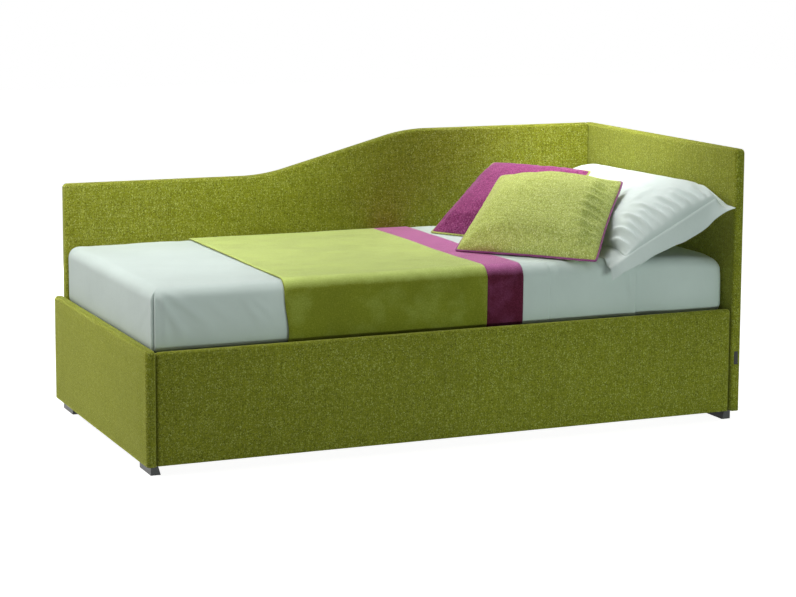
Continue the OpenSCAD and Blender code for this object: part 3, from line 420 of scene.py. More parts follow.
def fold(x, y, a, b, width, height):
    """A crease from a to b: a ridge that fades at both ends, with a shallow valley on its lee side."""
    a, b = np.array(a, float), np.array(b, float)
    d = b - a
    length = math.hypot(*d)
    t = ((x - a[0]) * d[0] + (y - a[1]) * d[1]) / length ** 2
    off = ((x - a[0]) * d[1] - (y - a[1]) * d[0]) / length
    run = smooth_step(t, -0.08, 0.3) * (1 - smooth_step(t, 0.55, 1.1))
    w = width * (0.7 + 0.6 * np.clip(t, 0, 1))
    ridge = np.exp(-(off / w) ** 2) - 0.45 * np.exp(-((off - 1.7 * w) / (1.3 * w)) ** 2)
    return height * run * ridge


def folds(x, y, table):
    """The sum of the creases in a table of from, to, width and height."""
    return sum(fold(x, y, *row) for row in table)


def vertex_normals(v, faces):
    """The normal at each point: the mean over its faces, weighted by their areas."""
    n = np.zeros_like(v)
    for size in (3, 4):
        f = np.array([q for q in faces if len(q) == size], int)
        if len(f):
            c = np.cross(v[f[:, 2]] - v[f[:, 0]], v[f[:, -1]] - v[f[:, 1]])
            for k in range(size):
                np.add.at(n, f[:, k], c)
    return n / np.maximum(np.linalg.norm(n, axis=1), 1e-12)[:, None]


def grid_faces(rows, count, closed=True):
    """Quads between neighbouring rows of points, where each row is a closed or an open line."""
    return [(i * count + j, i * count + (j + 1) % count, (i + 1) * count + (j + 1) % count, (i + 1) * count + j)
            for i in range(rows - 1) for j in range(count if closed else count - 1)]


def linked_object(name, v, faces):
    """An object in the scene with this mesh."""
    mesh = bpy.data.meshes.new(name)
    mesh.from_pydata([tuple(p) for p in v], [], [tuple(int(i) for i in f) for f in faces])
    o = bpy.data.objects.new(name, mesh)
    scene.collection.objects.link(o)
    return o


def piece(name, v, faces, slot, body, replaces=()):
    """A visible piece: its object with its material, the body it rides on and the CAD nodes it stands for."""
    o = linked_object(name, v, faces)
    mesh = o.data
    bm = bmesh.new()
    bm.from_mesh(mesh)
    bmesh.ops.recalc_face_normals(bm, faces=bm.faces)
    bm.to_mesh(mesh)
    bm.free()
    mesh.polygons.foreach_set("use_smooth", [True] * len(mesh.polygons))
    mesh.materials.append(finishes[slot])
    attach(o, body)
    if replaces:
        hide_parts(*replaces)
    return o


def thickened(v, faces, t, lift=0.0):
    """A closed sheet: the outer side is v raised by lift, the inner side t below it, with a rounded rim."""
    v = np.asarray(v, float)
    n = vertex_normals(v, faces)
    edges = [(f[i], f[(i + 1) % len(f)]) for f in faces for i in range(len(f))]
    known = set(edges)
    rim = [(a, b) for a, b in edges if (b, a) not in known]
    outward = np.zeros_like(v)
    for a, b in rim:
        d = v[b] - v[a]
        side = np.cross(d, n[a] + n[b])
        side /= max(np.linalg.norm(side), 1e-12)
        outward[a] += side
        outward[b] += side
    length = np.maximum(np.linalg.norm(outward, axis=1), 1e-12)[:, None]
    outer = v + n * lift
    inner = outer - n * t
    middle = (outer + inner) / 2 + outward / length * t * 0.5
    k = len(v)
    ids = sorted({i for e in rim for i in e})
    slot_of = {i: 2 * k + j for j, i in enumerate(ids)}
    solid = [tuple(f) for f in faces] + [tuple(i + k for i in reversed(f)) for f in faces]
    for a, b in rim:
        solid.append((b, a, slot_of[a], slot_of[b]))
        solid.append((slot_of[b], slot_of[a], a + k, b + k))
    return np.vstack([outer, inner, middle[ids]]), solid


def inside_loop(points, loop):
    """Whether each point is inside a closed loop of points."""
    x, y = points[:, 0][:, None], points[:, 1][:, None]
    a, b = loop, np.roll(loop, -1, axis=0)
    cross = (a[:, 1] > y) != (b[:, 1] > y)
    with np.errstate(divide="ignore", invalid="ignore"):
        at = a[:, 0] + (y - a[:, 1]) / (b[:, 1] - a[:, 1]) * (b[:, 0] - a[:, 0])
    return (cross & (x < at)).sum(1) % 2 == 1


def from_loop(points, loop):
    """The distance of each point from a closed loop of points."""
    a, b = loop, np.roll(loop, -1, axis=0)
    best = np.full(len(points), 1e9)
    for p, q in zip(a, b):
        d = q - p
        t = np.clip(((points - p) @ d) / max(d @ d, 1e-18), 0, 1)
        best = np.minimum(best, np.linalg.norm(points - p - t[:, None] * d, axis=1))
    return best


def fill(loop, spacing):
    """Points inside a flat loop, and triangles over the loop's points and them."""
    low, high = loop.min(0), loop.max(0)
    rows = []
    y, odd = low[1] + spacing * 0.5, 0
    while y < high[1]:
        xs = np.arange(low[0] + spacing * (0.5 + 0.5 * odd), high[0], spacing)
        rows.append(np.column_stack([xs, np.full(len(xs), y)]))
        y, odd = y + spacing * 0.87, 1 - odd
    grid = np.vstack(rows)
    grid = grid[inside_loop(grid, loop)]
    grid = grid[from_loop(grid, loop) > spacing * 0.45]
    every = np.vstack([loop, grid])
    k = len(loop)
    edges = [(i, (i + 1) % k) for i in range(k)]
    found = geometry.delaunay_2d_cdt([Vector(p) for p in every], edges, [], 1, 1e-7)
    back = {}
    for i, origin in enumerate(found[3]):
        for j in origin:
            back.setdefault(i, j)
    triangles = [tuple(back[i] for i in f) for f in found[2]]
    return grid, triangles


def evenly(points, counts):
    """Each straight run of points split into its own number of equal steps."""
    out = []
    for (p, q), k in zip(zip(points[:-1], points[1:]), counts):
        out += [np.array(p) + (np.array(q) - np.array(p)) * i / k for i in range(k)]
    out.append(np.array(points[-1]))
    return out


def arc(cx, cy, r, start, end, steps):
    """Points of an arc; its start and end are in degrees."""
    a = np.radians(np.linspace(start, end, steps + 1))
    return [(cx + r * math.cos(t), cy + r * math.sin(t)) for t in a]


def outline_of(corners, step=0.022, closed=True):
    """A function of the inset that gives the outline, with the same count of points at each inset."""
    def ends(inset):
        return corners(inset) + corners(inset)[:1] if closed else corners(inset)

    counts = [max(1, round(math.dist(p, q) / step)) for p, q in zip(ends(0.0)[:-1], ends(0.0)[1:])]
    return lambda inset: np.array(evenly(ends(inset), counts)[:-1 if closed else None])


# ---------------------------------------------------------------- the bed's own sizes, in metres
OUT_X0, OUT_X1, FRONT_Y, BACK_Y = -1.0, 1.0, -0.52, 0.52
WELL_X0, WELL_X1, FRONT_INNER_Y, FRONT_GAP = -0.9655, 0.9605, -0.475, 0.0025
FLOOR_GAP, BASE_TOP, HEAD_TOP, BACK_LOW, DRAWER_TOP = 0.028, 0.369, 0.880, 0.740, 0.364
# A panel's edge is rolled, but less at the floor and where it is pressed against the next panel
EDGE_ROLL, CORNER_R, BOTTOM_SHARE, PRESSED_SHARE = 0.011, 0.015, 0.12, 0.1
# Its padding falls away towards the edge: by how much, on a side in view and on one pressed down, and from where
PANEL_T, SIDE_FALL, HIDDEN_FALL, EDGE_FALL_REACH, UNEVEN = 0.045, 0.0035, 0.0012, 0.10, 0.0006
DRAWER_FALL = 0.006
SLOPE_X0, SLOPE_X1, SLOPE_R = -0.350, 0.330, 0.600
SLOPE_FALL = 2 * SLOPE_R - (HEAD_TOP - BACK_LOW)
SLOPE_ANGLE = math.degrees(
    math.asin(2 * SLOPE_R / math.hypot(SLOPE_X1 - SLOPE_X0, SLOPE_FALL)) - math.atan2(SLOPE_FALL, SLOPE_X1 - SLOPE_X0))


def upright_panel(x0, x1, top):
    """The outline of a panel with rounded upper corners."""
    def corners(inset):
        z0 = FLOOR_GAP + inset * BOTTOM_SHARE
        r = CORNER_R
        return ([(x0 + inset, z0), (x1 - inset, z0)]
                + arc(x1 - r, top - r, r - inset, 0, 90, 8) + arc(x0 + r, top - r, r - inset, 90, 180, 8))
    return outline_of(corners)


def back_shape(inset):
    """The back panel: high at the head end, and from there an S-curve of two arcs down to the foot end."""
    z0 = FLOOR_GAP + inset * BOTTOM_SHARE
    x0, x1, r = WELL_X0, WELL_X1, CORNER_R
    pressed = x1 - inset * PRESSED_SHARE
    return ([(x0 + inset, z0), (pressed, z0), (pressed, HEAD_TOP - inset)]
            + arc(SLOPE_X1, HEAD_TOP - SLOPE_R, SLOPE_R - inset, 90, 90 + SLOPE_ANGLE, 20)
            + arc(SLOPE_X0, BACK_LOW + SLOPE_R, SLOPE_R + inset, 270 + SLOPE_ANGLE, 270, 20)
            + arc(x0 + r, BACK_LOW - r, r - inset, 90, 180, 8))


def slab(outline, t, roll, place, near=0.0, far=0.0, spacing=0.016, uneven=0.0, seed=0):
    """A padded slab of thickness t with rolled edges; its sides fall away towards the edges by near and far."""
    # from the near side's rim outwards to the edge, over the side, and in again to the far side's rim
    out = [(roll * (1 - math.sin(q)), roll * (1 - math.cos(q))) for q in np.radians(np.linspace(0, 90, 8))]
    insets, depths = np.array(out + [(i, t - d) for i, d in out[::-1]]).T
    outer = outline(0.0)
    k, m = len(outer), len(insets)
    rims = [outline(inset) for inset in insets]
    grid, triangles = fill(rims[0], spacing)
    near_side, far_side = m * k, m * k + len(grid)
    faces = grid_faces(m, k)
    faces += [tuple(i if i < k else near_side + i - k for i in reversed(f)) for f in triangles]
    faces += [tuple((m - 1) * k + i if i < k else far_side + i - k for i in f) for f in triangles]
    flat = np.vstack([*rims, grid, grid])
    depth = np.concatenate([np.repeat(depths, k), np.zeros(len(grid)), np.full(len(grid), t)])
    share = depth / t
    recede = 1 - smooth_step(from_loop(flat, outer), 0.0, EDGE_FALL_REACH)
    depth = depth + recede * (near * (1 - share) - far * share) * smooth_step(np.abs(share - 0.5), 0.05, 0.3)
    hollow = np.maximum(layered_noise(flat[:, 0] * 5, flat[:, 1] * 5, seed) * uneven + uneven, 0)
    depth = depth + hollow * np.where(share < 0.5, near > 0, -1.0 * (far > 0))
    return np.array([place(p[0], p[1], d) for p, d in zip(flat, depth)]), faces


# ---------------------------------------------------------------- padded panels
def head_place(a, z, d):
    """The front edge is pressed in a little under the tab."""
    dent = 0.0008 * smooth_step(z, 0.172, 0.182) * (1 - smooth_step(z, 0.224, 0.234)) * (a < FRONT_Y + 0.004)
    return (WELL_X1 + d, a + dent, z)


def drawer_place(a, z, d):
    """The drawer front's top falls towards its rear."""
    fall = DRAWER_FALL * (1 - smooth_step(d, 0.0, 0.036))
    return (a, FRONT_INNER_Y - d, z - fall * smooth_step(z, 0.340, DRAWER_TOP))


# name, body, outline, thickness, place of a point of the slab, fall of its near and far side
for seed, (name, body, outline, t, place, near, far) in enumerate((
        ("foot_panel", "bed_frame", upright_panel(FRONT_Y, BACK_Y, BASE_TOP), WELL_X0 - OUT_X0,
         lambda a, z, d: (OUT_X0 + d, a, z), SIDE_FALL, 0.0),
        ("head_panel", "bed_frame", upright_panel(FRONT_Y, BACK_Y, HEAD_TOP), OUT_X1 - WELL_X1,
         head_place, HIDDEN_FALL, SIDE_FALL),
        ("back_panel", "bed_frame", outline_of(back_shape), PANEL_T,
         lambda a, z, d: (a, BACK_Y - d, z), SIDE_FALL, HIDDEN_FALL),
        ("drawer_front", "drawer", upright_panel(WELL_X0 + FRONT_GAP, WELL_X1 - FRONT_GAP, DRAWER_TOP), PANEL_T,
         drawer_place, 0.0, SIDE_FALL)), start=1):
    v, f = slab(outline, t, EDGE_ROLL, place, near, far, uneven=UNEVEN, seed=seed)
    piece(name + "_padding", v, f, "green_upholstery", body, [name + "_cover"])

# ---------------------------------------------------------------- mattress and sheets
MAT_X0, MAT_X1, MAT_Y0, MAT_Y1 = -0.9565, 0.9555, -0.4612, 0.4648
MAT_Z0, MAT_Z1, MAT_ROLL, MAT_CORNER, MAT_HEAD_CORNER = 0.343, 0.535, 0.034, 0.046, 0.036
HEAD_FALL, CORNER_FALL, FRONT_BULGE = 0.009, 0.014, 0.011
# How far round the lower roll the hems reach, in degrees
HEM_TURN, ELASTIC_TURN = 32, 54
# How far each layer's upper side is off the mattress, and each layer's thickness
FITTED, TOP, TURNED, THROW = 0.0023, 0.0046, 0.0068, 0.0099
SHEET_T, TURNED_T, THROW_T, FLANGE_T = 0.0018, 0.0022, 0.005, 0.0022
# The radius of the top sheet's corner, and the gap between the throw, its band and the turned-down sheet
TIGHT_CORNER, SEAM_GAP = 0.010, 0.0022
BAND_X0, BAND_X1, THROW_X0, TURN_X = 0.106, 0.229, -0.553, 0.630


def mattress_corners(inset):
    """The mattress from above; its front corner at the head end is a little tighter."""
    r, q = MAT_CORNER, MAT_HEAD_CORNER
    return (arc(MAT_X0 + r, MAT_Y0 + r, r - inset, 180, 270, 8) + arc(MAT_X1 - q, MAT_Y0 + q, q - inset, 270, 360, 8)
            + arc(MAT_X1 - r, MAT_Y1 - r, r - inset, 0, 90, 8) + arc(MAT_X0 + r, MAT_Y1 - r, r - inset, 90, 180, 8))


def fallen(v):
    """The mattress is a little lower and rounder towards the head end, and its front bulges there."""
    v = v.copy()
    high = smooth_step(v[:, 2], 0.44, 0.53)
    corner = smooth_step(v[:, 0], 0.83, 0.97) * smooth_step(-v[:, 1], 0.36, 0.47)
    v[:, 2] -= high * (HEAD_FALL * smooth_step(v[:, 0], 0.74, 0.97) + CORNER_FALL * corner)
    v[:, 1] -= FRONT_BULGE * smooth_step(v[:, 0], 0.66, 0.80) * smooth_step(-v[:, 1], 0.40, 0.46) * (1 - 0.5 * high)
    return v


bed_loop = outline_of(mattress_corners, 0.014)
v, f = slab(bed_loop, MAT_Z1 - MAT_Z0, MAT_ROLL, lambda a, b, d: (a, b, MAT_Z0 + d), spacing=0.03)
mattress = piece("mattress_core", fallen(v), f, "mattress_ticking", "bedding", ["mattress"])


def with_walls(g, count, top_steps, low_steps=4, turn=HEM_TURN):
    """The side of a sheet from its hem, which curls in under the mattress, up and over the upper roll."""
    def roll(first, last, steps, z, sign):
        return [(MAT_ROLL - (MAT_ROLL + g) * math.cos(q), z + sign * (MAT_ROLL + g) * math.sin(q))
                for q in np.radians(np.linspace(first, last, steps + 1))]

    low = roll(turn, 0, low_steps, MAT_Z0 + MAT_ROLL, -1)
    top = roll(0, 90, top_steps, MAT_Z1 - MAT_ROLL, 1)
    walls = [(-g, low[-1][1] + (top[0][1] - low[-1][1]) * i / count) for i in range(1, count)]
    return low + walls + top


def draped(outline, profile, spacing, closed=True):
    """A sheet over the bed: its side, a ring for each line of the profile, and its flat top.

    An open sheet's lines are open at the head end, where its top ends in a straight run."""
    k, m = len(outline(0.0)), len(profile)
    pts = [np.column_stack([outline(i), np.full(k, z)]) for i, z in profile]
    rim = pts[-1][:, :2]
    count = 1 if closed else round(math.dist(rim[-1], rim[0]) / spacing)
    run = [rim[-1] + (rim[0] - rim[-1]) * i / count for i in range(1, count)]
    grid, triangles = fill(np.vstack([rim, *run]), spacing)
    top = np.vstack([*run, grid])
    faces = grid_faces(m, k, closed)
    faces += [tuple((m - 1) * k + i if i < k else m * k + i - k for i in t) for t in triangles]
    pts.append(np.column_stack([top, np.full(len(top), profile[-1][1])]))
    return np.vstack(pts), faces


# The fitted sheet is tight, with soft gathers where its elastic draws it under the mattress
v, f = draped(bed_loop, with_walls(FITTED, 10, 9, 5, ELASTIC_TURN), 0.018)
x, y, z = v.T
near_corner = np.exp(-(((np.abs(x + 0.002) - 0.93) / 0.09) ** 2) - (((np.abs(y) - 0.44) / 0.07) ** 2))
gathers = np.sin((x + y) * 190 + 2 * np.sin((x + y) * 37)) * 0.0011 * near_corner * (1 - smooth_step(z, 0.36, 0.47))
tension = layered_noise(x * 6, z * 22, 11) * 0.0006 * smooth_step(np.abs(y), 0.44, 0.46)
v = v + vertex_normals(v, f) * np.maximum(gathers + tension, -0.0004)[:, None]
v, f = thickened(fallen(v), f, SHEET_T)
fitted = piece("fitted_sheet_cloth", v, f, "white_cotton", "bedding", ["fitted_sheet"])


# How deep the slit beside the fold at the front foot corner is, at each angle of the corner's arc
CORNER_SLIT = ((203, 0.001), (208, 0.006), (215, 0.012), (225, 0.014), (235, 0.012), (242, 0.006), (247, 0.001))


def top_outline(inset):
    """The top sheet from above, open at the head end; the corner's slit closes where the sheet turns onto the top."""
    r = max(TIGHT_CORNER - inset, 0.002)
    c = inset + r
    open_share = 1 - smooth_step(inset, 0.002, 0.016)
    slit = [arc(MAT_X0 + c, MAT_Y0 + c, r - deep * open_share, turn, turn, 0)[0] for turn, deep in CORNER_SLIT]
    return ([(TURN_X, MAT_Y1 - inset)] + arc(MAT_X0 + c, MAT_Y1 - c, r, 90, 180, 6)
            + arc(MAT_X0 + c, MAT_Y0 + c, r, 180, 198, 2) + slit
            + arc(MAT_X0 + c, MAT_Y0 + c, r, 252, 270, 2) + [(TURN_X, MAT_Y0 + inset)])


v, f = draped(outline_of(top_outline, 0.0075, closed=False), with_walls(TOP, 20, 10), 0.013, closed=False)
x, y, z = v.T
front_wall, foot_wall = smooth_step(-y, 0.43, 0.462), smooth_step(-x, 0.93, 0.955)
bare = 1 - smooth_step(x, THROW_X0 - 0.06, THROW_X0 - 0.01)
swell = layered_noise(x * 7, z * 7 + y * 3, 21) * 0.0016 * bare
swell += front_wall * bare * folds(x, z, (
    ((-0.955, 0.545), (-0.86, 0.39), 0.013, 0.0075), ((-0.950, 0.550), (-0.78, 0.42), 0.014, 0.0060),
    ((-0.935, 0.535), (-0.915, 0.37), 0.010, 0.0055), ((-0.80, 0.50), (-0.70, 0.42), 0.016, 0.0030),
    ((-0.70, 0.51), (-0.60, 0.40), 0.015, 0.0032), ((-0.66, 0.50), (-0.57, 0.42), 0.010, 0.0026)))
swell += foot_wall * (fold(y, z, (-0.45, 0.50), (-0.30, 0.40), 0.018, 0.0020)
                      + layered_noise(y * 7, z * 10, 5) * 0.0006)
# beside the slit the sheet stays smooth and stands out a little
corner_rim = np.exp(-((np.hypot(x - MAT_X0, y - MAT_Y0) - 0.004) / 0.010) ** 2) * (1 - smooth_step(z, 0.515, 0.535))
swell = np.maximum(swell, -0.0006) * np.where(foot_wall > 0.5, 0.5, 1.0) * (1 - corner_rim) + corner_rim * 0.0016
v, f = thickened(v + vertex_normals(v, f) * swell[:, None], f, SHEET_T)
top_sheet = piece("top_sheet_cloth", v, f, "white_cotton", "bedding", ["top_sheet"])


def across_sheet(xs, g, t, raise_by, edge_line, counts=(14, 9, 64)):
    """A sheet of thickness t across the bed, g off the mattress, with its lines along the bed at xs.

    At each point, with its length s from the front hem, edge_line(x, s, y, z) shifts it along the bed and
    raise_by(x, s, y, z) lifts it. The counts are the steps of its wall, its roll and its top."""
    side = with_walls(g, *counts[:2])
    y0, y1 = MAT_Y0 + MAT_ROLL, MAT_Y1 - MAT_ROLL
    top = [(y0 + (y1 - y0) * i / counts[2], MAT_Z1 + g) for i in range(1, counts[2])]
    pts = np.array([(MAT_Y0 + i, z) for i, z in side] + top + [(MAT_Y1 - i, z) for i, z in reversed(side)])
    s = np.concatenate([[0], np.cumsum(np.linalg.norm(np.diff(pts, axis=0), axis=1))])
    v = np.array([np.column_stack([np.full(len(pts), x), pts]) for x in xs]).reshape(-1, 3)
    s = np.tile(s, len(xs))
    faces = [(a, d, c, b) for a, b, c, d in grid_faces(len(xs), len(pts), closed=False)]
    n = vertex_normals(v, faces)
    v[:, 0] = edge_line(v[:, 0], s, v[:, 1], v[:, 2])
    return thickened(v + n * raise_by(v[:, 0], s, v[:, 1], v[:, 2])[:, None], faces, t)


def band_line(x, s, y, z):
    """The band's edges aren't quite straight."""
    return x + 0.0025 * np.sin(s * 9)


def throw_line(x, s, y, z):
    """The throw's edge at the band follows it, and its edge at the foot end swings out a little where it hangs."""
    hang, left = 1 - smooth_step(z, 0.36, 0.53), smooth_step(-x, 0.30, 0.52)
    return x + left * hang * (0.010 + (y < 0) * 0.004 * np.sin(s * 30)) + 0.0025 * np.sin(s * 9) * (1 - left)


def throw_lift(x, s, y, z):
    hang = 1 - smooth_step(z, 0.36, 0.50)
    return (layered_noise(x * 4, s * 4, 31) * 0.0012 + 0.0012
            + hang * (0.0022 + 0.0018 * layered_noise(x * 7, z * 2, 33)))


v, f = across_sheet(np.linspace(THROW_X0, BAND_X0, 50), THROW, THROW_T, throw_lift, throw_line)
throw = piece("green_throw_cloth", v, f, "green_felt", "bedding", ["throw"])
v, f = across_sheet(np.linspace(BAND_X0 + SEAM_GAP, BAND_X1, 13), THROW, THROW_T, throw_lift, band_line)
band = piece("mauve_throw_band", v, f, "mauve_felt", "bedding", ["throw_band"])

# The turned-down part of the top sheet: its hem's stitch line is at HEM_LINE, and its fold is at the head end
HEM_LINE = 0.325
# Creases that run from the front hem over the bed's edge: from, to, width, height
TURNED_FOLDS = (
    ((0.43, 0.26), (0.52, 0.13), 0.011, 0.0060), ((0.46, 0.27), (0.58, 0.12), 0.012, 0.0065),
    ((0.50, 0.27), (0.615, 0.15), 0.010, 0.0060), ((0.40, 0.24), (0.46, 0.15), 0.010, 0.0040),
    ((0.53, 0.30), (0.60, 0.21), 0.012, 0.0080), ((0.345, 0.20), (0.375, 0.10), 0.012, 0.0022),
    ((0.25, 0.17), (0.29, 0.08), 0.012, 0.0020), ((0.60, 0.16), (0.618, 0.05), 0.007, 0.0035))


def turned_lift(x, s, y, z):
    lift = layered_noise(x * 12, s * 7, 41) * 0.0009 + 0.0009
    lift = lift + 0.0010 * (1 - smooth_step(x, HEM_LINE - 0.002, HEM_LINE + 0.0015))
    lift = lift - 0.0016 * np.exp(-((x - HEM_LINE) / 0.0018) ** 2) + folds(x, s, TURNED_FOLDS)
    lift = lift + smooth_step(x, 0.600, 0.630) * (0.0030 + 0.0035 * (1 - smooth_step(s, 0.0, 0.03)))
    return np.maximum(lift, -0.0008)


def turned_line(x, s, y, z):
    hang = 1 - smooth_step(z, 0.36, 0.53)
    return x + smooth_step(x, 0.55, 0.63) * 0.004 * (np.sin(s * 14 + 1) - hang) * (y < 0)


hem_lines = HEM_LINE + np.array([-0.004, -0.002, 0, 0.002, 0.004])
xs = np.unique(np.concatenate([np.linspace(BAND_X1 + SEAM_GAP, TURN_X, 66), hem_lines]))
v, f = across_sheet(xs, TURNED, TURNED_T, turned_lift, turned_line, (24, 14, 130))
turned = piece("turned_down_cloth", v, f, "white_cotton", "bedding", ["top_sheet"])


# ---------------------------------------------------------------- cushions and pillow
def finer(v, faces):
    """The mesh subdivided, as points and faces."""
    o = linked_object("finer", v, faces)
    o.modifiers.new("finer", "SUBSURF").levels = 1
    dg = bpy.context.evaluated_depsgraph_get()
    done = bpy.data.meshes.new_from_object(o.evaluated_get(dg))
    out = np.array([p.co[:] for p in done.vertices])
    polys = [tuple(p.vertices) for p in done.polygons]
    bpy.data.objects.remove(o)
    return out, polys


INFLATE_FRAMES = 20
CLOTH = {"quality": 6, "mass": 0.25, "tension_stiffness": 12, "compression_stiffness": 12, "shear_stiffness": 6,
         "bending_stiffness": 0.4, "use_pressure": True, "uniform_pressure_force": 4.0}


def inflated(v, faces, cap, free):
    """Blows up a closed soft shape by cloth simulation; no point moves further than cap times its share in free."""
    o = linked_object("soft", v, faces)
    cloth = o.modifiers.new("cloth", "CLOTH")
    for key, value in CLOTH.items():
        setattr(cloth.settings, key, value)
    cloth.settings.effector_weights.gravity = 0
    cloth.collision_settings.use_self_collision = False
    cloth.point_cache.frame_start, cloth.point_cache.frame_end = 1, INFLATE_FRAMES
    for k in range(1, INFLATE_FRAMES + 1):
        scene.frame_set(k)
    dg = bpy.context.evaluated_depsgraph_get()
    done = o.evaluated_get(dg).to_mesh()
    out = np.array([p.co[:] for p in done.vertices])
    bpy.data.objects.remove(o)
    scene.frame_set(1)
    d = out - v
    far = np.linalg.norm(d, axis=1)
    return v + d * (free * np.minimum(1, cap / np.maximum(far, 1e-9)))[:, None]


def two_skins(us, vs):
    """A closed pair of grids that share their border: (u, v, side) of each point, the faces, and the border."""
    w, h = len(us), len(vs)
    over = np.arange(w * h).reshape(h, w)
    under = over.copy()
    under[1:-1, 1:-1] = w * h + np.arange((w - 2) * (h - 2)).reshape(h - 2, w - 2)
    faces = []
    for j in range(h - 1):
        for i in range(w - 1):
            faces.append((over[j, i], over[j, i + 1], over[j + 1, i + 1], over[j + 1, i]))
            faces.append((under[j, i], under[j + 1, i], under[j + 1, i + 1], under[j, i + 1]))
    uv = [(a, b, 1) for b in vs for a in us] + [(a, b, -1) for b in vs[1:-1] for a in us[1:-1]]
    return np.array(uv, float), faces, [*over[0], *over[1:, -1], *over[-1, -2::-1], *over[-2:0:-1, 0]]


def crowded(steps, share):
    """Numbers from -1 to 1 that lie closer together towards both ends."""
    even = np.linspace(-1, 1, steps + 1)
    return np.sin(even * math.pi / 2) * share + even * (1 - share)


def crown(u, v, power):
    """How full a square cushion is: 1 in its middle and 0 along its sides."""
    return np.maximum(0, (1 - u * u) * (1 - v * v)) ** power


def soft_floor(value, least, softness):
    """Keeps value above least, with a soft turn."""
    return least + softness * np.logaddexp(0, (value - least) / softness)


def soft_ceiling(value, most, softness):
    """Keeps value below most, with a soft turn."""
    return -soft_floor(-value, -most, softness)


PIPE_R = 0.0036
# How far the middles of a cushion's sides are drawn in, and its corners, as shares of half its side
SIDE_PULL, CORNER_PULL, CUSHION_STEPS = 0.042, 0.030, 44


def leaning(corner, turn, lean):
    """A cushion's place: a function of the way along its lower edge from the left end, up it, and out of it."""
    t, l = math.radians(turn), math.radians(lean)
    along = (math.cos(t), math.sin(t), 0)
    up = (-math.sin(t) * math.sin(l), math.cos(t) * math.sin(l), math.cos(l))
    out = (math.sin(t) * math.cos(l), -math.cos(t) * math.cos(l), math.sin(l))
    return lambda a, b, h: corner + np.outer(a, along) + np.outer(b, up) + np.outer(h, out)


def rest_height(x):
    """The height of the bedding's top under a soft piece at x."""
    return MAT_Z1 + np.where(x < BAND_X1 + 0.006, 0.0116, 0.0098)


def cushion(color, node, place, side, up, down, pipe_slot, seed, extra=None, corner_shift=(0, 0, 0, 0)):
    """A square cushion and its piping: up and down are the fullness of its two skins.

    extra(u, w, top) adds folds, and corner_shift moves the lower left and lower right corners in x and y."""
    us = crowded(CUSHION_STEPS, 0.60)
    uv, faces, border = two_skins(us, us)
    u, w, s = uv.T
    half = side / 2 + 0.0010
    rounded = CORNER_PULL * (np.abs(u) * np.abs(w)) ** 7
    a = half * u * (1 - SIDE_PULL * (1 - w * w) - rounded)
    b = half * w * (1 - SIDE_PULL * (1 - u * u) - rounded)
    rise = crown(u, w, 0.5) * (0.80 + 0.20 * crown(u, w, 0.7))
    local = np.column_stack([a, b, np.where(s > 0, up, -down) * rise])
    free = smooth_step(1 - np.maximum(np.abs(u), np.abs(w)), 0.0, 0.25)
    local, faces = finer(inflated(local, faces, 0.012, free), faces)
    seam = local[border]
    a, b, h = local.T
    u, w = a / half, b / half
    top = h > 0
    rim = np.maximum(np.abs(u), np.abs(w))
    away = smooth_step(1.0 - rim, 0.03, 0.13)
    # short gathers along the seams, longer soft dents towards the corners
    seam_w = np.exp(-((1.0 - rim) / 0.13) ** 2) * smooth_step(1.0 - rim, 0.03, 0.09)
    run = np.where(np.abs(u) > np.abs(w), w, u)
    gathers = value_noise(run * 15 + 5, np.sign(u) * 3 + 0.2 * rim, seed) * 0.0028 * seam_w
    corner_w = np.exp(-(((np.abs(u) - 0.76) / 0.18) ** 2) - (((np.abs(w) - 0.76) / 0.18) ** 2))
    dents = -0.0045 * corner_w * smooth_step(np.abs(np.sin((np.abs(u) - np.abs(w)) * 8)), 0.2, 1.0)
    bulge = layered_noise(u * 2.2 + 7, w * 2.2, seed + 3) * 0.0035 * away
    h = h + np.sign(h) * (gathers + dents * away + bulge) + (extra(u, w, top) if extra else 0.0)

    def placed(a, b, h):
        p = place(a + side / 2, b + side / 2, h)
        low_left = np.clip((1 - a / half) * (1 - b / half) / 4, 0, 1)
        low_right = np.clip((1 + a / half) * (1 - b / half) / 4, 0, 1)
        p[:, 0] += low_left * corner_shift[0] + low_right * corner_shift[2]
        p[:, 1] += low_left * corner_shift[1] + low_right * corner_shift[3]
        return p

    p = placed(a, b, h)
    p[:, 2] = soft_floor(p[:, 2], rest_height(p[:, 0]), 0.0015)
    piece(color + "_cushion", p, faces, color + "_weave", "bedding", [node])
    # The piping runs round the seam, a little behind it
    out = (half + PIPE_R * 0.35) / half
    q = placed(seam[:, 0] * out, seam[:, 1] * out, seam[:, 2] - PIPE_R * 0.5)
    q = (np.roll(q, 1, 0) + 4 * q + np.roll(q, -1, 0)) / 6
    q[:, 2] = soft_floor(q[:, 2], rest_height(q[:, 0]) + PIPE_R, 0.0015)
    v, f = cord_tube(q, PIPE_R)
    piece(color + "_cushion_piping", v, f, pipe_slot, "bedding", [node + "_piping"])


CORD_SIDES, CORD_STRANDS, CORD_TWIST, CORD_STEP, CORD_RELIEF = 10, 2, 0.016, 0.003, 0.10


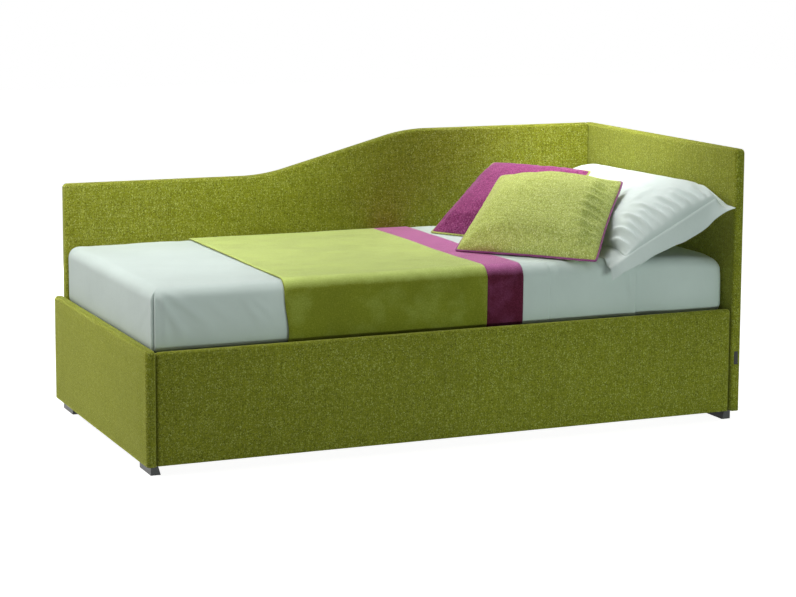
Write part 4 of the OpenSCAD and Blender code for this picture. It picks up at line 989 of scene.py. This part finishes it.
def cord_tube(line, r):
    """A closed ring of twisted cord along a closed line."""
    closed = np.vstack([line, line[:1]])
    seg = np.linalg.norm(np.diff(closed, axis=0), axis=1)
    s = np.concatenate([[0], np.cumsum(seg)])
    n = int(round(s[-1] / CORD_STEP))
    at = np.linspace(0, s[-1], n, endpoint=False)
    pts = np.column_stack([np.interp(at, s, closed[:, k]) for k in range(3)])
    t = np.roll(pts, -1, 0) - np.roll(pts, 1, 0)
    t /= np.linalg.norm(t, axis=1)[:, None]
    b = np.cross(t, (0, 0, 1.0))
    b /= np.linalg.norm(b, axis=1)[:, None]
    c = np.cross(b, t)
    turns = round(s[-1] / CORD_TWIST)
    rows = []
    for phi in np.arange(CORD_SIDES) * (2 * math.pi / CORD_SIDES):
        wave = 1 + CORD_RELIEF * np.cos(CORD_STRANDS * (phi + 2 * math.pi * turns * at / s[-1]))
        rows.append(pts + (b * math.cos(phi) + c * math.sin(phi)) * (r * wave)[:, None])
    v = np.stack(rows, 1).reshape(-1, 3)
    return v, [tuple(i % len(v) for i in q) for q in grid_faces(n + 1, CORD_SIDES)]


def shirred(u, w, top):
    """The green cushion's right side is gathered in short folds square to its seam."""
    side = smooth_step(u, 0.52, 0.80) * (1 - smooth_step(u, 0.90, 0.96))
    ripple = np.sin(w * 44 + 4 * value_noise(u * 5, w * 6, 91)) * (0.6 + 0.4 * value_noise(u * 9, w * 12, 92))
    return np.where(top, 0.0022 * side * ripple + folds(u, w, SHIRR_FOLDS), 0.0)


# Its deep folds run in from the right seam: where each starts, in half sides from the middle, and its height
SHIRR_FOLDS = [((0.93, b), (0.60, b - 0.10), 0.030, height) for b, height in (
    (-0.72, 0.007), (-0.52, 0.009), (-0.34, 0.008), (-0.12, 0.007), (0.06, 0.009), (0.26, 0.007), (0.44, 0.006),
    (0.66, 0.004))]
cushion("mauve", "rear_cushion", leaning((0.244, 0.269, 0.5432), -62.2, 59.0), 0.418, 0.072, 0.034,
        "green_piping", 51)
cushion("green", "front_cushion", leaning((0.147, -0.184, 0.5465), -45.6, 60.7), 0.430, 0.098, 0.036,
        "mauve_piping", 61, shirred, (-0.008, 0.028, 0.012, -0.034))

# The pillow: a soft body, and a flange all round with a stitch line where they meet. The front end stands out over
# the mattress's edge, so its flange hangs there.
P_WIDTH, P_LENGTH, P_FLANGE, P_RISE = 0.462, 0.925, 0.058, 0.192
P_LOW_X, P_LOW_Z = 0.524, 0.5421
P_STITCH_Y0, P_STITCH_Y1, P_HEM_OUT = -0.498, 0.363, 0.016
P_RUN = math.sqrt(P_WIDTH ** 2 - P_RISE ** 2)
P_UP = np.array([-P_RISE, 0, P_RUN]) / P_WIDTH
P_ABOVE, P_UNDER = 0.068, 0.034
# Where the body ends on the pillow's own square: at its lower side, at its ends, and beside the head panel
fu, fw, HEAD_SIDE_U = 1 - P_FLANGE / (P_WIDTH / 2), 1 - P_FLANGE / (P_LENGTH / 2), 0.95
body_mid, body_half = (HEAD_SIDE_U - fu) / 2, (HEAD_SIDE_U + fu) / 2
# How far the front flange hangs: along the pillow's width, at its stitch line and at its hem
HANG_AT = (0.0, 0.10, 0.23, 0.40, 0.57, 0.75, 0.84, 0.92, 1.0)
HANG_STITCH = (0.024, 0.018, 0.013, 0.010, 0.007, 0.004, 0.003, 0.003, 0.003)
HANG_HEM = (0.060, 0.053, 0.061, 0.066, 0.071, 0.072, 0.067, 0.058, 0.053)


def pillow_place(u, w, h):
    """From the pillow's own square to the bed: u over its width, w over its length, h off its middle."""
    s = (u + 1) / 2
    x = P_LOW_X + s * P_RUN
    past = np.maximum(0, -w - fw) / (1 - fw)
    beyond = np.maximum(0, w - fw) / (1 - fw)
    along = (np.clip(w, -fw, fw) / fw + 1) / 2
    y = P_STITCH_Y0 + along * (P_STITCH_Y1 - P_STITCH_Y0) + beyond * P_FLANGE - past * P_HEM_OUT
    stitch, hem = np.interp(s, HANG_AT, HANG_STITCH), np.interp(s, HANG_AT, HANG_HEM)
    front = stitch * smooth_step(-y, 0.42, -P_STITCH_Y0) + (hem - stitch) * past ** 0.92
    corner = 0.053 * np.clip((-0.35 - y) / 0.164, 0, 1) ** 1.1
    corner_share = smooth_step(s, 0.89, 0.98)
    hang = front * (1 - corner_share) + corner * corner_share
    z = P_LOW_Z + s * P_RISE + 0.012 * s * np.clip((0.40 - y) / 0.75, 0, 1) - hang
    tip = past * smooth_step(s, 0.84, 1.0)
    p = np.column_stack([x + 0.013 * tip, y - 0.016 * tip, z]) + np.outer(h, P_UP)
    on_bed = smooth_step(p[:, 1], -0.475, -0.460)
    rest = np.where(p[:, 0] < TURN_X + 0.01, MAT_Z1 + 0.0092, MAT_Z1 + 0.0040)
    p[:, 2] = np.where(on_bed > 0, soft_floor(p[:, 2], rest, 0.002) * on_bed + p[:, 2] * (1 - on_bed), p[:, 2])
    p[:, 0] = soft_ceiling(p[:, 0], WELL_X1 - 0.0020, 0.002)
    return p


def flange_wave(u, w):
    """How the flange waves up and down along its length."""
    front = smooth_step(-w, 0.84, 0.95)
    low = smooth_step(-u, 0.70, 0.90)
    wave = (0.0050 * value_noise(u * 3.6 + 4, 2.0 + w, 71) * front
            + 0.003 * value_noise(w * 6, 1.0 + u, 72) * (1 - front) * (1 - smooth_step(u, 0.6, 0.9)))
    return wave * (1 - 0.7 * low)


# Folds of the body's front end, which start at the stitch line and run back over it: from, to, width, height
PILLOW_FOLDS = (
    ((-0.168, -0.400), (-0.186, -0.335), 0.007, 0.0070), ((-0.138, -0.400), (-0.172, -0.300), 0.008, 0.0100),
    ((-0.104, -0.402), (-0.140, -0.285), 0.007, 0.0095), ((-0.082, -0.402), (-0.098, -0.330), 0.006, 0.0075),
    ((-0.054, -0.402), (-0.082, -0.270), 0.008, 0.0110), ((-0.022, -0.402), (-0.040, -0.310), 0.006, 0.0080),
    ((0.008, -0.402), (-0.028, -0.262), 0.009, 0.0110), ((0.038, -0.402), (0.020, -0.325), 0.006, 0.0075),
    ((0.066, -0.402), (0.034, -0.280), 0.009, 0.0105), ((0.098, -0.402), (0.082, -0.315), 0.007, 0.0085),
    ((0.130, -0.402), (0.100, -0.290), 0.009, 0.0100), ((0.160, -0.402), (0.146, -0.330), 0.007, 0.0075),
    ((-0.16, -0.28), (-0.06, -0.24), 0.014, 0.0040), ((-0.02, -0.25), (0.09, -0.235), 0.016, 0.0045))


def pillow_creases(u, w):
    """Short folds of the body near its front end, and broad unevenness further in."""
    x, y = u * P_WIDTH / 2, w * P_LENGTH / 2
    front = smooth_step(-w, 0.45, 0.80)
    broad = layered_noise(x * 16 + 2, y * 12, 75) * (0.0014 + 0.0030 * front)
    return folds(x, y, PILLOW_FOLDS) - 0.005 * front + broad


uv, faces, _ = two_skins(crowded(60, 0.35), crowded(92, 0.60))
u, w, s = uv.T
puff = np.sqrt((1 - np.abs(u) ** 2.6) * (1 - np.abs(w) ** 8))
local = np.column_stack([u * body_half * P_WIDTH / 2, w * fw * P_LENGTH / 2,
                         np.where(s > 0, P_ABOVE, -P_UNDER) * puff])
free = smooth_step(1 - np.maximum(np.abs(u), np.abs(w)), 0.0, 0.2)
local, faces = finer(inflated(local, faces, 0.008, free), faces)
lu, lw = local[:, 0] / (body_half * P_WIDTH / 2), local[:, 1] / (fw * P_LENGTH / 2)
u, w, h = body_mid + lu * body_half, lw * fw, local[:, 2]
inner = smooth_step(1 - np.maximum(np.abs(lu), np.abs(lw)), 0.0, 0.03)
h = h + np.where(h > 0, pillow_creases(u, w) * inner, 0) + flange_wave(u, w) * (1 - inner)
pillow = piece("pillow_body", pillow_place(u, w, h), faces, "pillow_cotton", "bedding", ["pillow"])

# The flange is two layers of cloth sewn together, laid round the body in rings from under its seam to the hem
FLANGE_RINGS, STITCH_RING = 13, 2
loop = np.array(evenly([(-1, -1), (1, -1), (1, 1), (-1, 1), (-1, -1)], (84, 120, 84, 120))[:-1])
rows = []
for i in range(FLANGE_RINGS):
    t = i / (FLANGE_RINGS - 1)
    ru = (body_mid + loop[:, 0] * body_half * 0.985) * (1 - t) + loop[:, 0] * t
    rw = loop[:, 1] * (fw * 0.99 * (1 - t) + t)
    lift = 0.0006 - (0.0010 if i == STITCH_RING else 0.0)
    rows.append(pillow_place(ru, rw, flange_wave(ru, rw) * (0.4 + 0.6 * t) + lift))
f = [tuple(reversed(q)) for q in grid_faces(FLANGE_RINGS, len(loop))]
v, f = thickened(np.vstack(rows), f, FLANGE_T, FLANGE_T / 2)
flange = piece("pillow_flange", v, f, "pillow_cotton", "bedding")
